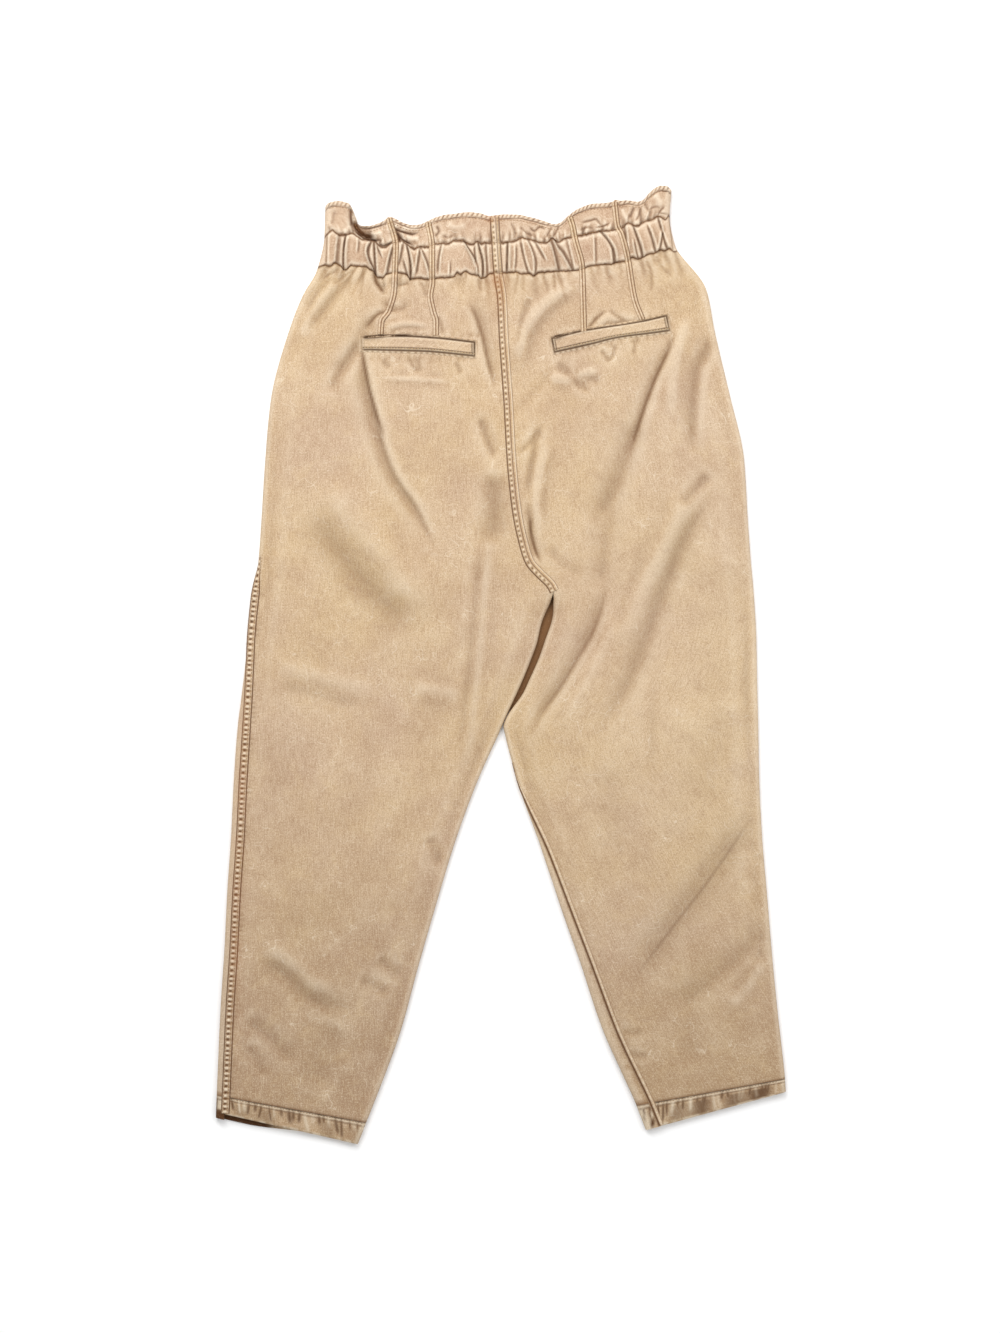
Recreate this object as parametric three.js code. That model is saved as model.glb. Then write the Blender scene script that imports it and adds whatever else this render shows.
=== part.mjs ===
// Paperbag waist trousers laid flat with the back up. Millimetres: x across, y towards the waist, z up.
// At every height the cloth is a ring: a back layer on top, a front layer beneath, rolled edges between.
import * as THREE from "three";

// Driving dimensions
const clothWall = 1.5; // one layer of twill
const waistWall = { heading: 2, casing: 2.2 }; // cloth turned double, and turned over the elastic
const hemWall = 2.2; // the turned and stitched hem
const seamGap = 0.3; // between neighbouring pieces
const seamTrim = 0.25; // what each band loses of it at its end, with room for its even steps
const normalStep = 0.3; // how far apart the points lie that a wall's direction is worked out from
const stationStep = 0.02; // the same along the leg, as a share of the way to the next row
const rollFade = { back: 26, front: 4 }; // from a rolled edge to the level of the middle
const legEdge = 4; // radius of a rolled edge below the seat
const legLevel = 5.4; // height of the back layer between the edges
const felt = { width: 9, wall: 0.9 }; // a flat felled seam
const dart = { width: 6, wall: 0.9 };
const welt = { height: 13, wall: 1.4 };
const lift = 0.42; // a sewn-on strip above the cloth that it lies on
const sideInset = 9; // the left side seam lies this far in from the edge on top
const inseamInset = 12; // the right inseam, likewise
const turnUnder = 2; // how far the right side seam lies in from the edge underneath, past the roll
const frontDrop = 6; // how far the front hem shows past the back hem at the left outer corner
const headingStep = 5; // how much lower the front of the heading ends than the back
const pleats = {
  casing: { spacing: 20, depth: 2.2, drift: 31, sway: 0.3 },
  heading: { spacing: 34, depth: 3.2, drift: 47, sway: 0.45 },
};

// Heights of the trunk. y is at the centre seam, and the sides end higher by leftUp and rightUp. edge is the
// radius of the rolled side, level the height of the back layer between the sides.
const trunk = [
  { at: "heading", y: 470, seam: -5, left: -184, leftUp: 8, right: 179, rightUp: 29, edge: 6, level: 11.5 },
  { at: "waist", y: 442, seam: -5, left: -185, leftUp: 10, right: 177, rightUp: 28, edge: 6, level: 11 },
  { at: "casing", y: 407, seam: -4, left: -192, leftUp: 9, right: 185, rightUp: 28, edge: 6, level: 10.2 },
  { at: "yoke", y: 380, seam: 1, left: -208, leftUp: 6, right: 215, rightUp: 14, edge: 5.4, level: 8 },
  { at: "pocket", y: 341, seam: 3, left: -224, leftUp: 3, right: 225, rightUp: 5, edge: 4.8, level: 6.4 },
  { at: "seat", y: 279, seam: 7, left: -241, leftUp: 0, right: 241, rightUp: 0, edge: 4.4, level: 5.6 },
  { at: "hip", y: 216, seam: 11, left: -247, leftUp: 0, right: 255, rightUp: 0, edge: 4.2, level: 5.4 },
  { at: "fork", y: 153, seam: 18, left: -251, leftUp: 0, right: 259, rightUp: 0, edge: 4, level: 5.4 },
  { at: "curve", y: 111, seam: 29, left: -254, leftUp: 0, right: 262, rightUp: 0, edge: 4, level: 5.4 },
  { at: "crotch", y: 78, seam: 55, left: -258, leftUp: 0, right: 265, rightUp: 0, edge: 4, level: 5.4 },
];
// Heights of each leg. y is at the inner edge, and the outer edge lies higher by the rise.
const legs = {
  left: [
    { at: "thigh", y: 27, inner: 37, outer: -265, rise: 0 },
    { at: "fold", y: -25, inner: 17, outer: -271, rise: 0 },
    { at: "gap", y: -65, inner: 1, outer: -276, rise: 0 },
    { at: "lower thigh", y: -121, inner: -24, outer: -280, rise: 2 },
    { at: "above knee", y: -186, inner: -48, outer: -283, rise: 6 },
    { at: "knee", y: -252, inner: -68, outer: -287, rise: 13 },
    { at: "calf", y: -318, inner: -87, outer: -290, rise: 19 },
    { at: "shin", y: -384, inner: -105, outer: -294, rise: 24 },
    { at: "ankle", y: -480, inner: -141, outer: -298, rise: 29 },
    { at: "foot", y: -503, inner: -150, outer: -299, rise: 34 },
  ],
  right: [
    { at: "thigh", y: 27, inner: 46, outer: 268, rise: 0 },
    { at: "fold", y: -25, inner: 24, outer: 269, rise: 0 },
    { at: "gap", y: -65, inner: 5, outer: 270, rise: 0 },
    { at: "lower thigh", y: -121, inner: 17, outer: 271, rise: 2 },
    { at: "above knee", y: -186, inner: 40, outer: 274, rise: 6 },
    { at: "knee", y: -252, inner: 62, outer: 279, rise: 13 },
    { at: "calf", y: -318, inner: 85, outer: 284, rise: 19 },
    { at: "shin", y: -384, inner: 107, outer: 290, rise: 23 },
    { at: "ankle", y: -462, inner: 142, outer: 298, rise: 28 },
    { at: "foot", y: -488, inner: 152, outer: 299, rise: 40 },
  ],
};
// Free edge of the paperbag heading, which rises and dips between the gathers.
const headingEdge = [
  { x: -186, y: 477 },
  { x: -172, y: 483 },
  { x: -158, y: 481 },
  { x: -149, y: 461 },
  { x: -137, y: 458 },
  { x: -117, y: 468 },
  { x: -92, y: 460 },
  { x: -55, y: 470 },
  { x: -12, y: 469 },
  { x: 20, y: 470 },
  { x: 58, y: 461 },
  { x: 80, y: 476 },
  { x: 112, y: 484 },
  { x: 144, y: 485 },
  { x: 163, y: 499 },
  { x: 179, y: 500 },
];
// Largest folds of the back: a run through three points, a trough where the depth is negative.
const folds = [
  { x0: -145, y0: 335, x1: -122, y1: 215, x2: -64, y2: 110, depth: -1.6, width: 18 },
  { x0: 170, y0: 325, x1: 128, y1: 210, x2: 104, y2: 90, depth: -1.6, width: 18 },
  { x0: 104, y0: 70, x1: 72, y1: -10, x2: 25, y2: -90, depth: -1.5, width: 18 },
  { x0: 230, y0: 191, x1: 178, y1: 88, x2: 134, y2: -35, depth: -1.2, width: 20 },
  { x0: -190, y0: 200, x1: -130, y1: 118, x2: -65, y2: 50, depth: 1.5, width: 24 },
  { x0: -12, y0: 149, x1: -22, y1: 20, x2: -38, y2: -120, depth: 1.4, width: 17 },
  { x0: 260, y0: -183, x1: 205, y1: -255, x2: 138, y2: -342, depth: -1.5, width: 20 },
  { x0: -252, y0: -309, x1: -208, y1: -342, x2: -148, y2: -361, depth: -1.3, width: 18 },
];
// Back welt pockets: the two ends of each welt's middle line.
const welts = {
  welt_left: { x0: -145, y0: 335, x1: -26, y1: 329 },
  welt_right: { x0: 54, y0: 334, x1: 177, y1: 357 },
};
// Tucked darts, by where each crosses the heading's edge, the gathering rows, the yoke and the welt.
const darts = [
  { name: "dart_left_outer", head: -117, waist: -110, casing: -112, yoke: -118, foot: -126, welt: 342.5 },
  { name: "dart_left_inner", head: -76, waist: -72, casing: -72, yoke: -73, foot: -68, welt: 340 },
  { name: "dart_right_inner", head: 73, waist: 78, casing: 84, yoke: 86, foot: 87, welt: 348.5 },
  { name: "dart_right_outer", head: 119, waist: 126, casing: 134, yoke: 139, foot: 147, welt: 360.5 },
];

const finishes = { denim: 0xcdb393, waist: 0xc2a587, seam: 0xd9c3a2, hem: 0xb99a76 };
const materials = {};
for (const [name, color] of Object.entries(finishes)) {
  materials[name] = new THREE.MeshStandardMaterial({ color, roughness: 0.95, metalness: 0 });
}

const mix = (a, b, share) => a + (b - a) * share;
const clamp = (value, low, high) => Math.min(high, Math.max(low, value));
const ease = (a, b, value) => {
  const share = clamp((value - a) / (b - a), 0, 1);
  return share * share * (3 - 2 * share);
};

// A smooth curve without overshoot through one column of a table, read against another column.
function curve(rows, against, column) {
  const x = rows.map((row) => row[against]);
  const y = rows.map((row) => row[column]);
  const slopes = x.slice(1).map((end, i) => (y[i + 1] - y[i]) / (end - x[i]));
  const turns = y.map((_, i) => {
    const before = slopes[Math.max(0, i - 1)];
    const after = slopes[Math.min(slopes.length - 1, i)];
    return before * after <= 0 ? 0 : (2 * before * after) / (before + after);
  });
  return (value) => {
    const found = x.findIndex((end) => end > value);
    const i = found < 0 ? x.length - 2 : Math.max(0, found - 1);
    const step = x[i + 1] - x[i];
    const k = clamp((value - x[i]) / step, 0, 1);
    const leave = step * turns[i] * (k ** 3 - 2 * k ** 2 + k);
    const arrive = step * turns[i + 1] * (k ** 3 - k ** 2);
    return mix(y[i], y[i + 1], k * k * (3 - 2 * k)) + leave + arrive;
  };
}

// Each half has curves against the station, the number of its row counted from the heading.
function half(side) {
  const upper = trunk.map((row) => {
    return { ...row, inner: row.seam, outer: row[side], rise: row[side + "Up"] };
  });
  const lower = legs[side].map((row) => ({ ...row, edge: legEdge, level: legLevel }));
  const rows = [...upper, ...lower].map((row, station) => ({ ...row, station }));
  const columns = ["y", "inner", "outer", "rise", "edge", "level"];
  return Object.fromEntries(columns.map((name) => [name, curve(rows, "station", name)]));
}
const halves = { left: half("left"), right: half("right") };
const names = [...trunk, ...legs.left].map((row) => row.at);
const stations = Object.fromEntries(names.map((name, station) => [name, station]));
const headingY = curve(headingEdge, "x", "y");

// A rolled edge: distance 0 is its outermost line, positive runs up and over it, negative under it.
function rolled(distance, radius) {
  const quarter = (Math.PI / 2) * radius;
  const along = Math.abs(distance);
  const angle = Math.min(along, quarter) / radius;
  const inset = radius * (1 - Math.cos(angle)) + Math.max(0, along - quarter);
  return { inset, rise: Math.sign(distance) * Math.sin(angle) };
}
const toDistance = (inset, radius) => inset + (Math.PI / 2 - 1) * radius;

// Height that the folds add to the back layer, each measured from the nearest point of its run.
function foldHeight(x, y) {
  const samples = 16;
  let height = 0;
  for (const fold of folds) {
    let nearest = Infinity;
    let along = 0;
    for (let i = 0; i <= samples; i += 1) {
      const k = i / samples;
      const px = mix(mix(fold.x0, fold.x1, k), mix(fold.x1, fold.x2, k), k);
      const py = mix(mix(fold.y0, fold.y1, k), mix(fold.y1, fold.y2, k), k);
      const far = Math.hypot(x - px, y - py);
      if (far < nearest) {
        nearest = far;
        along = k;
      }
    }
    const ends = ease(-0.1, 0.2, along) * ease(1.1, 0.8, along);
    height += fold.depth * ends * Math.exp(-((nearest / fold.width) ** 2));
  }
  return height;
}

// Gathers as a wave across the waist, from 0 at a crest to the full depth.
function pleatDepth(x, station) {
  const part = station < stations.waist ? pleats.heading : pleats.casing;
  const fadeDown = ease(stations.casing + 0.5, stations.casing, station);
  const fade = station < stations.waist ? mix(1, 0.4, station) : fadeDown;
  const turn = 2 * Math.PI * (x / part.spacing + part.sway * Math.sin(x / part.drift));
  return part.depth * fade * (0.5 - 0.5 * Math.cos(turn));
}

// How far the inner edge of each layer is rolled: the back from the crotch, the front from the gap.
const innerRoll = {
  back: (station) => ease(stations.crotch - stationStep, stations.crotch + 0.6, station),
  front: (station) => ease(stations.gap, stations.gap + 0.6, station),
};
// Until the gap the two fronts meet below the crevice between the thighs.
function innerLine(side, layer, station) {
  const own = halves[side].inner(station);
  if (layer === "back") return own;
  const shared = (halves.left.inner(station) + halves.right.inner(station)) / 2;
  return mix(shared, own, ease(stations.gap - 0.5, stations.gap, station));
}
// The rolled distance of the side seam and of the inseam, where the back meets the front.
const hiddenSeam = -1.5;
const inseamShown = { from: stations.gap + 0.6, to: stations.gap + 1.8 }; // where it comes round on top
const sideSeam = {
  left: (station) => {
    const shown = ease(stations.curve - 0.5, stations.thigh + 0.5, station);
    return mix(hiddenSeam, toDistance(sideInset, legEdge), shown);
  },
  right: (station) => -(Math.PI / 2) * halves.right.edge(station) - turnUnder,
};
const inseam = {
  left: () => hiddenSeam,
  right: (station) => {
    const shown = ease(inseamShown.from, inseamShown.to, station);
    return mix(hiddenSeam, toDistance(inseamInset, legEdge), shown);
  },
};

const pastTheRoll = 0.999; // the rise of a ring from which it runs level
// A point of the outer face of one layer, a rolled distance from its outer or its inner edge.
function facePoint(side, layer, station, from, distance) {
  const h = halves[side];
  const radius = h.edge(station);
  const outer = h.outer(station);
  const inner = innerLine(side, layer, station);
  const start = from === "outer" ? outer : inner;
  const inward = Math.sign(from === "outer" ? inner - outer : outer - inner);
  const roll = from === "outer" ? 1 : innerRoll[layer](station);
  const ring = rolled(distance, radius);
  const flatInset = (layer === "back" ? 1 : -1) * (distance - hiddenSeam);
  const x = start + inward * mix(flatInset, ring.inset, roll);
  const across = (x - inner) / (outer - inner);
  const bend = station < stations.crotch ? across * Math.abs(across) : across;
  const settled = ease(0, rollFade.back, Math.abs(x - outer) - radius);
  let y = h.y(station) + h.rise(station) * bend;
  if (station < stations.waist) {
    const edge = headingY(x) - (layer === "front" ? headingStep * settled : 0);
    y += (edge - h.y(0) - h.rise(0) * bend) * (1 - station);
  }
  const footShare = ease(stations.ankle, stations.foot, station);
  if (side === "left" && layer === "front") y -= frontDrop * footShare * ease(0.3, 0.8, across);
  const fromInner = ease(0, rollFade.back, Math.abs(x - inner) - radius);
  const innerSettled = mix(1, fromInner, innerRoll.back(station));
  const settle = settled * innerSettled;
  const pleat = settled * pleatDepth(x + (layer === "front" ? pleats.casing.spacing / 2 : 0), station);
  const floor = 2 * clothWall + 2 * seamGap;
  const level = mix(2 * radius, h.level(station), settle) + settle * foldHeight(x, y);
  const flat = layer === "back" ? Math.max(floor, level) - pleat : pleat;
  const flatRise = Math.abs(ring.rise) > pastTheRoll && ring.inset > radius;
  const top = flatRise && ring.rise > 0 ? Math.max(floor, level) - pleat : 2 * radius;
  const bottom = flatRise && ring.rise < 0 ? pleat : 0;
  const round = ring.rise >= 0 ? mix(radius, top, ring.rise) : mix(radius, bottom, -ring.rise);
  return new THREE.Vector3(x, y, mix(flat, round, roll));
}

// Outward normal of the face within its row, worked out from the points beside it.
function faceNormal(side, layer, station, from, distance) {
  const h = halves[side];
  const ends = [h.outer(station), innerLine(side, layer, station)];
  const [edge, other] = from === "outer" ? ends : ends.reverse();
  const across = facePoint(side, layer, station, from, distance + normalStep);
  across.sub(facePoint(side, layer, station, from, distance - normalStep));
  const normal = new THREE.Vector3(across.z, 0, -across.x).normalize();
  const point = facePoint(side, layer, station, from, distance);
  const radius = h.edge(station);
  const inset = Math.max(radius, Math.abs(point.x - edge));
  const heart = new THREE.Vector3(edge + Math.sign(other - edge) * inset, point.y, radius);
  return normal.dot(point.sub(heart)) > 0 ? normal : normal.negate();
}

// Shares of the way from a seam over the rolled edge: to the level of the middle on the back, and
// to the flat underside on the front.
const shoulders = { back: [0, 0.08, 0.16, 0.25, 0.45, 1], front: [0, 0.2, 0.4, 0.6, 0.8, 1] };

// One layer as two grids, its face and its back: a row for each station, a column for each step
// from the side to the centre. A gathered band runs level right up to the centre seam.
function layerWall(side, layer, rows, flatSteps, gathered, thickness) {
  const way = layer === "back" ? 1 : -1;
  const gap = (way * seamGap) / 2;
  const face = [];
  const back = [];
  for (const station of rows) {
    const radius = halves[side].edge(station);
    const near = radius + rollFade[layer];
    const reach = way * toDistance(near, radius);
    const wide = Math.abs(halves[side].outer(station) - innerLine(side, layer, station));
    const outerSeam = sideSeam[side](station) + gap;
    const innerSeam = inseam[side](station) + gap;
    const steps = shoulders[layer].map((share) => ["outer", mix(outerSeam, reach, share)]);
    const far = gathered ? wide - seamGap / 2 : wide - near;
    for (let i = 1; i < flatSteps + (gathered ? 1 : 0); i += 1) {
      steps.push(["outer", way * toDistance(mix(near, far, i / flatSteps), radius)]);
    }
    if (!gathered) {
      const inner = shoulders[layer].map((share) => ["inner", mix(innerSeam, reach, share)]);
      steps.push(...inner.reverse());
    }
    const row = steps.map(([from, distance]) => facePoint(side, layer, station, from, distance));
    face.push(row);
    back.push(row.map((point, i) => {
      return point.clone().addScaledVector(faceNormal(side, layer, station, ...steps[i]), -thickness);
    }));
  }
  return { face, back };
}

// Stations from one named row to another in even steps, trimmed at each seam by half its gap.
function rowsBetween(from, to, steps) {
  const [start, end] = [stations[from], stations[to]];
  const y = halves.left.y;
  const trimAt = (station) => {
    const travel = Math.abs(y(station + stationStep) - y(station - stationStep));
    return (seamTrim * 2 * stationStep) / travel;
  };
  const first = start === stations.heading ? start : start + trimAt(start + stationStep);
  const last = end === stations.foot ? end : end - trimAt(end - stationStep);
  return Array.from({ length: steps + 1 }, (_, i) => mix(first, last, i / steps));
}

// Two grids of the same size, a face and a back, closed round their edges into one solid.
function closedSheet(face, back) {
  const rows = face.length;
  const columns = face[0].length;
  const points = [...face.flat(), ...back.flat()];
  const id = (layer, row, column) => layer * rows * columns + row * columns + column;
  const triangles = [];
  const quad = (a, b, c, d) => triangles.push([a, b, c], [a, c, d]);
  for (let r = 0; r < rows - 1; r += 1) {
    for (let c = 0; c < columns - 1; c += 1) {
      quad(id(0, r, c), id(0, r, c + 1), id(0, r + 1, c + 1), id(0, r + 1, c));
      quad(id(1, r, c), id(1, r + 1, c), id(1, r + 1, c + 1), id(1, r, c + 1));
    }
    const c = columns - 1;
    quad(id(0, r, 0), id(0, r + 1, 0), id(1, r + 1, 0), id(1, r, 0));
    quad(id(0, r, c), id(1, r, c), id(1, r + 1, c), id(0, r + 1, c));
  }
  for (let c = 0; c < columns - 1; c += 1) {
    const r = rows - 1;
    quad(id(0, 0, c), id(1, 0, c), id(1, 0, c + 1), id(0, 0, c + 1));
    quad(id(0, r, c), id(0, r, c + 1), id(1, r, c + 1), id(1, r, c));
  }
  const volume = triangles.reduce((sum, [a, b, c]) => {
    return sum + points[a].dot(points[b].clone().cross(points[c]));
  }, 0);
  const outward = volume > 0 ? triangles : triangles.map(([a, b, c]) => [a, c, b]);
  const geometry = new THREE.BufferGeometry().setFromPoints(points);
  geometry.setIndex(outward.flat());
  geometry.computeVertexNormals();
  return geometry;
}

const trousers = new THREE.Group();
function addSolid(name, face, back, finish) {
  const mesh = new THREE.Mesh(closedSheet(face, back), materials[finish]);
  mesh.name = name;
  trousers.add(mesh);
}

// The cloth, band by band from the heading to the hems, with its steps down and across.
const panelRows = [...rowsBetween("casing", "crotch", 9).slice(0, -1), stations.crotch];
panelRows.push(...rowsBetween("crotch", "ankle", 12).slice(1));
const bands = [
  {
    name: "heading_",
    rows: rowsBetween("heading", "waist", 2),
    across: { back: 22, front: 22 },
    wall: waistWall.heading,
    finish: "waist",
  },
  {
    name: "casing_",
    rows: rowsBetween("waist", "casing", 1),
    across: { back: 36, front: 36 },
    wall: waistWall.casing,
    finish: "waist",
  },
  { name: "", rows: panelRows, across: { back: 5, front: 4 }, wall: clothWall, finish: "denim" },
  {
    name: "hem_",
    rows: rowsBetween("ankle", "foot", 1),
    across: { back: 5, front: 4 },
    wall: hemWall,
    finish: "hem",
  },
];
const topTriangles = [];
for (const { name, rows, across, wall, finish } of bands) {
  const gathered = finish === "waist";
  for (const layer of ["back", "front"]) {
    for (const side of ["left", "right"]) {
      const { face, back } = layerWall(side, layer, rows, across[layer], gathered, wall);
      addSolid(`${name}${layer}_${side}`, face, back, finish);
      for (let r = 0; r < face.length - 1; r += 1) {
        for (let c = 0; c < face[0].length - 1; c += 1) {
          const [a, b, d, e] = [face[r][c], face[r][c + 1], face[r + 1][c + 1], face[r + 1][c]];
          topTriangles.push([a, b, d], [a, d, e]);
        }
      }
    }
  }
}

const sliver = 1e-9; // area of a triangle that stands on edge
// Height of the cloth at a point seen from above.
function clothTop(x, y) {
  let height = 0;
  for (const [a, b, c] of topTriangles) {
    const area = (b.x - a.x) * (c.y - a.y) - (c.x - a.x) * (b.y - a.y);
    if (Math.abs(area) < sliver) continue;
    const v = ((x - a.x) * (c.y - a.y) - (c.x - a.x) * (y - a.y)) / area;
    const w = ((b.x - a.x) * (y - a.y) - (x - a.x) * (b.y - a.y)) / area;
    if (v < 0 || w < 0 || v + w > 1) continue;
    height = Math.max(height, a.z + v * (b.z - a.z) + w * (c.z - a.z));
  }
  return height;
}
// The highest cloth within reach of a point.
function crestNear(x, y, reach) {
  let height = clothTop(x, y);
  for (let i = 0; i < 8; i += 1) {
    const angle = (i * Math.PI) / 4;
    height = Math.max(height, clothTop(x + reach * Math.cos(angle), y + reach * Math.sin(angle)));
  }
  return height;
}

// A sewn strip along a path on the back: even steps along it, points across it, lifted off the cloth.
function addStrip(name, path, width, wall, step, across, finish) {
  const route = new THREE.CatmullRomCurve3(path.map(([x, y]) => new THREE.Vector3(x, y, 0)));
  const steps = Math.round(route.getLength() / step);
  const base = [];
  for (let i = 0; i <= steps; i += 1) {
    const middle = route.getPointAt(i / steps);
    const along = route.getTangentAt(i / steps);
    const row = [];
    for (let j = 0; j <= across; j += 1) {
      const off = width * (j / across - 0.5);
      const x = middle.x - along.y * off;
      const y = middle.y + along.x * off;
      row.push(new THREE.Vector3(x, y, crestNear(x, y, step / 2) + lift));
    }
    base.push(row);
  }
  const face = base.map((row) => row.map((p) => new THREE.Vector3(p.x, p.y, p.z + wall)));
  addSolid(name, face, base, finish);
}

// A line on the back of one half, a fixed inset from its outer or its inner edge, row by row.
function insetLine(side, from, inset, rows) {
  return rows.map((station) => {
    const p = facePoint(side, "back", station, from, toDistance(inset, halves[side].edge(station)));
    return [p.x, p.y];
  });
}

const seamRows = rowsBetween("heading", "crotch", 18).slice(0, -1);
const seamPath = seamRows.map((station) => {
  const p = facePoint("left", "back", station, "inner", hiddenSeam);
  return [p.x, p.y];
});
addStrip("centre_back_seam", seamPath, felt.width, felt.wall, 9, 1, "seam");
const sideRows = rowsBetween("curve", "ankle", 18);
const sidePath = insetLine("left", "outer", sideInset, sideRows);
addStrip("outseam_left", sidePath, felt.width, felt.wall, 16, 1, "seam");
const inseamRows = rowsBetween("lower thigh", "ankle", 12);
const inseamPath = insetLine("right", "inner", inseamInset, inseamRows);
addStrip("inseam_right", inseamPath, dart.width, dart.wall, 14, 1, "seam");
const dartHeights = { waist: 437, casing: 405, yoke: 384 };
for (const row of darts) {
  const marks = [row.head, row.waist, row.casing, row.yoke, row.foot];
  const { waist, casing, yoke } = dartHeights;
  const heights = [headingY(row.head) - 1, waist, casing, yoke, row.welt + 1];
  const path = marks.map((x, i) => [x, heights[i]]);
  addStrip(row.name, path, dart.width, dart.wall, 6, 1, "seam");
}
for (const [name, row] of Object.entries(welts)) {
  const path = [
    [row.x0, row.y0],
    [row.x1, row.y1],
  ];
  addStrip(name, path, welt.height, welt.wall, 12, 2, "denim");
}

// The origin is at the middle of the flat underside.
const box = new THREE.Box3().setFromObject(trousers);
trousers.position.set(-(box.min.x + box.max.x) / 2, -(box.min.y + box.max.y) / 2, -box.min.z);

export default trousers;
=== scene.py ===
import math
import bpy
import numpy as np
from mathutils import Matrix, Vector
from mathutils.bvhtree import BVHTree


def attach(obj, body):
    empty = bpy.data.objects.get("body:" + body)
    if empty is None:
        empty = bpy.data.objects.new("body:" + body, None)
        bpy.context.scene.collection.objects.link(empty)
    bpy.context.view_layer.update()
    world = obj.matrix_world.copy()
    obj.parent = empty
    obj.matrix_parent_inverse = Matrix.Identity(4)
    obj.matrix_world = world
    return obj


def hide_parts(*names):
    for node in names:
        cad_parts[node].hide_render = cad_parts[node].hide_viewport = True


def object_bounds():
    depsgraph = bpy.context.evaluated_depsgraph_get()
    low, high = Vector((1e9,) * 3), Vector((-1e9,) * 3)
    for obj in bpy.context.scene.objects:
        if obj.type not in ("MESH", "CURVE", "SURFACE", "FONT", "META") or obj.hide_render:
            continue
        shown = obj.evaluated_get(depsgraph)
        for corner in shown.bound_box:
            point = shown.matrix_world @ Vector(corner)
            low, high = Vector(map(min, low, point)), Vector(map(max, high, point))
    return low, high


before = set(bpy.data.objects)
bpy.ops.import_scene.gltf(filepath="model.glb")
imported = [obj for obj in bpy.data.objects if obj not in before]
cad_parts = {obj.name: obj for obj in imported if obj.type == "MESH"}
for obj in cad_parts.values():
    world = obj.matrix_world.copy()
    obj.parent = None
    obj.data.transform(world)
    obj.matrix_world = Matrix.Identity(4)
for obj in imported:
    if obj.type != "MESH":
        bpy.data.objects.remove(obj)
cadBounds = [[float(v) for v in corner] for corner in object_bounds()]
print("frame loaded", cadBounds)

# Sizes are in millimetres until a mesh is made. The trousers lie with the back up and the waist
# towards +Y, every piece is a thin sheet on one shared form.
mm = 0.001
rng = np.random.default_rng(11)

# ---- the form: the outline at named heights, from the heading's edge down to the foot
# y is at the centre (or inner) edge, the sides end higher by their rise
form = {
    "trunk": [
        dict(at="heading", y=470, seam=-5, left=-184, leftRise=8, right=179, rightRise=29, edge=6, level=10.5),
        dict(at="waist", y=442, seam=-5, left=-185, leftRise=10, right=177, rightRise=28, edge=6, level=12),
        dict(at="casing", y=407, seam=-4, left=-192, leftRise=9, right=185, rightRise=28, edge=6, level=11.6),
        dict(at="yoke", y=380, seam=1, left=-208, leftRise=6, right=215, rightRise=14, edge=5.4, level=11.2),
        dict(at="pocket", y=341, seam=3, left=-224, leftRise=3, right=225, rightRise=5, edge=4.8, level=11),
        dict(at="seat", y=279, seam=7, left=-241, leftRise=0, right=241, rightRise=0, edge=4.4, level=10.8),
        dict(at="hip", y=216, seam=11, left=-247, leftRise=0, right=255, rightRise=0, edge=4.2, level=10.6),
        dict(at="fork", y=153, seam=18, left=-251, leftRise=0, right=259, rightRise=0, edge=4, level=10.5),
        dict(at="curve", y=111, seam=29, left=-254, leftRise=0, right=262, rightRise=0, edge=4, level=10.5),
        dict(at="crotch", y=78, seam=55, left=-258, leftRise=0, right=265, rightRise=0, edge=4, level=10.5),
    ],
    "left": [
        dict(at="thigh", y=27, inner=37, outer=-265, rise=0),
        dict(at="fold", y=-25, inner=17, outer=-271, rise=0),
        dict(at="gap", y=-65, inner=1, outer=-276, rise=0),
        dict(at="lowerThigh", y=-121, inner=-24, outer=-280, rise=2),
        dict(at="aboveKnee", y=-186, inner=-48, outer=-283, rise=6),
        dict(at="knee", y=-252, inner=-68, outer=-287, rise=13),
        dict(at="calf", y=-318, inner=-87, outer=-290, rise=19),
        dict(at="shin", y=-384, inner=-105, outer=-294, rise=24),
        dict(at="ankle", y=-480, inner=-141, outer=-298, rise=29),
        dict(at="foot", y=-503, inner=-150, outer=-299, rise=34),
    ],
    "right": [
        dict(at="thigh", y=27, inner=49, outer=268, rise=0),
        dict(at="fold", y=-25, inner=28, outer=269, rise=0),
        dict(at="gap", y=-65, inner=5, outer=270, rise=0),
        dict(at="lowerThigh", y=-121, inner=17, outer=271, rise=2),
        dict(at="aboveKnee", y=-186, inner=40, outer=274, rise=6),
        dict(at="knee", y=-252, inner=62, outer=279, rise=13),
        dict(at="calf", y=-318, inner=85, outer=284, rise=19),
        dict(at="shin", y=-384, inner=107, outer=290, rise=23),
        dict(at="ankle", y=-462, inner=142, outer=298, rise=28),
        dict(at="foot", y=-488, inner=152, outer=299, rise=40),
    ],
    "legEdge": 4,
    "legLevel": 10.5,
    "endLevels": {"shin": 10, "ankle": 8.6, "foot": 7.2},  # the open ends lie flatter
    "rollFade": 24,      # from a rolled edge to the level of the middle
    "sideInset": 9,      # left side seam, in from the edge on top
    "turnUnder": 2,      # right side seam, in from the roll underneath
    "hiddenSeam": -1.5,
    "frontDrop": 6,      # the front hem shows past the back hem at the left outer corner
    "forkClose": 2.9,    # the legs lean towards each other below the fork
    "clearance": 2.2,    # the back layer never comes lower than this
}

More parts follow.
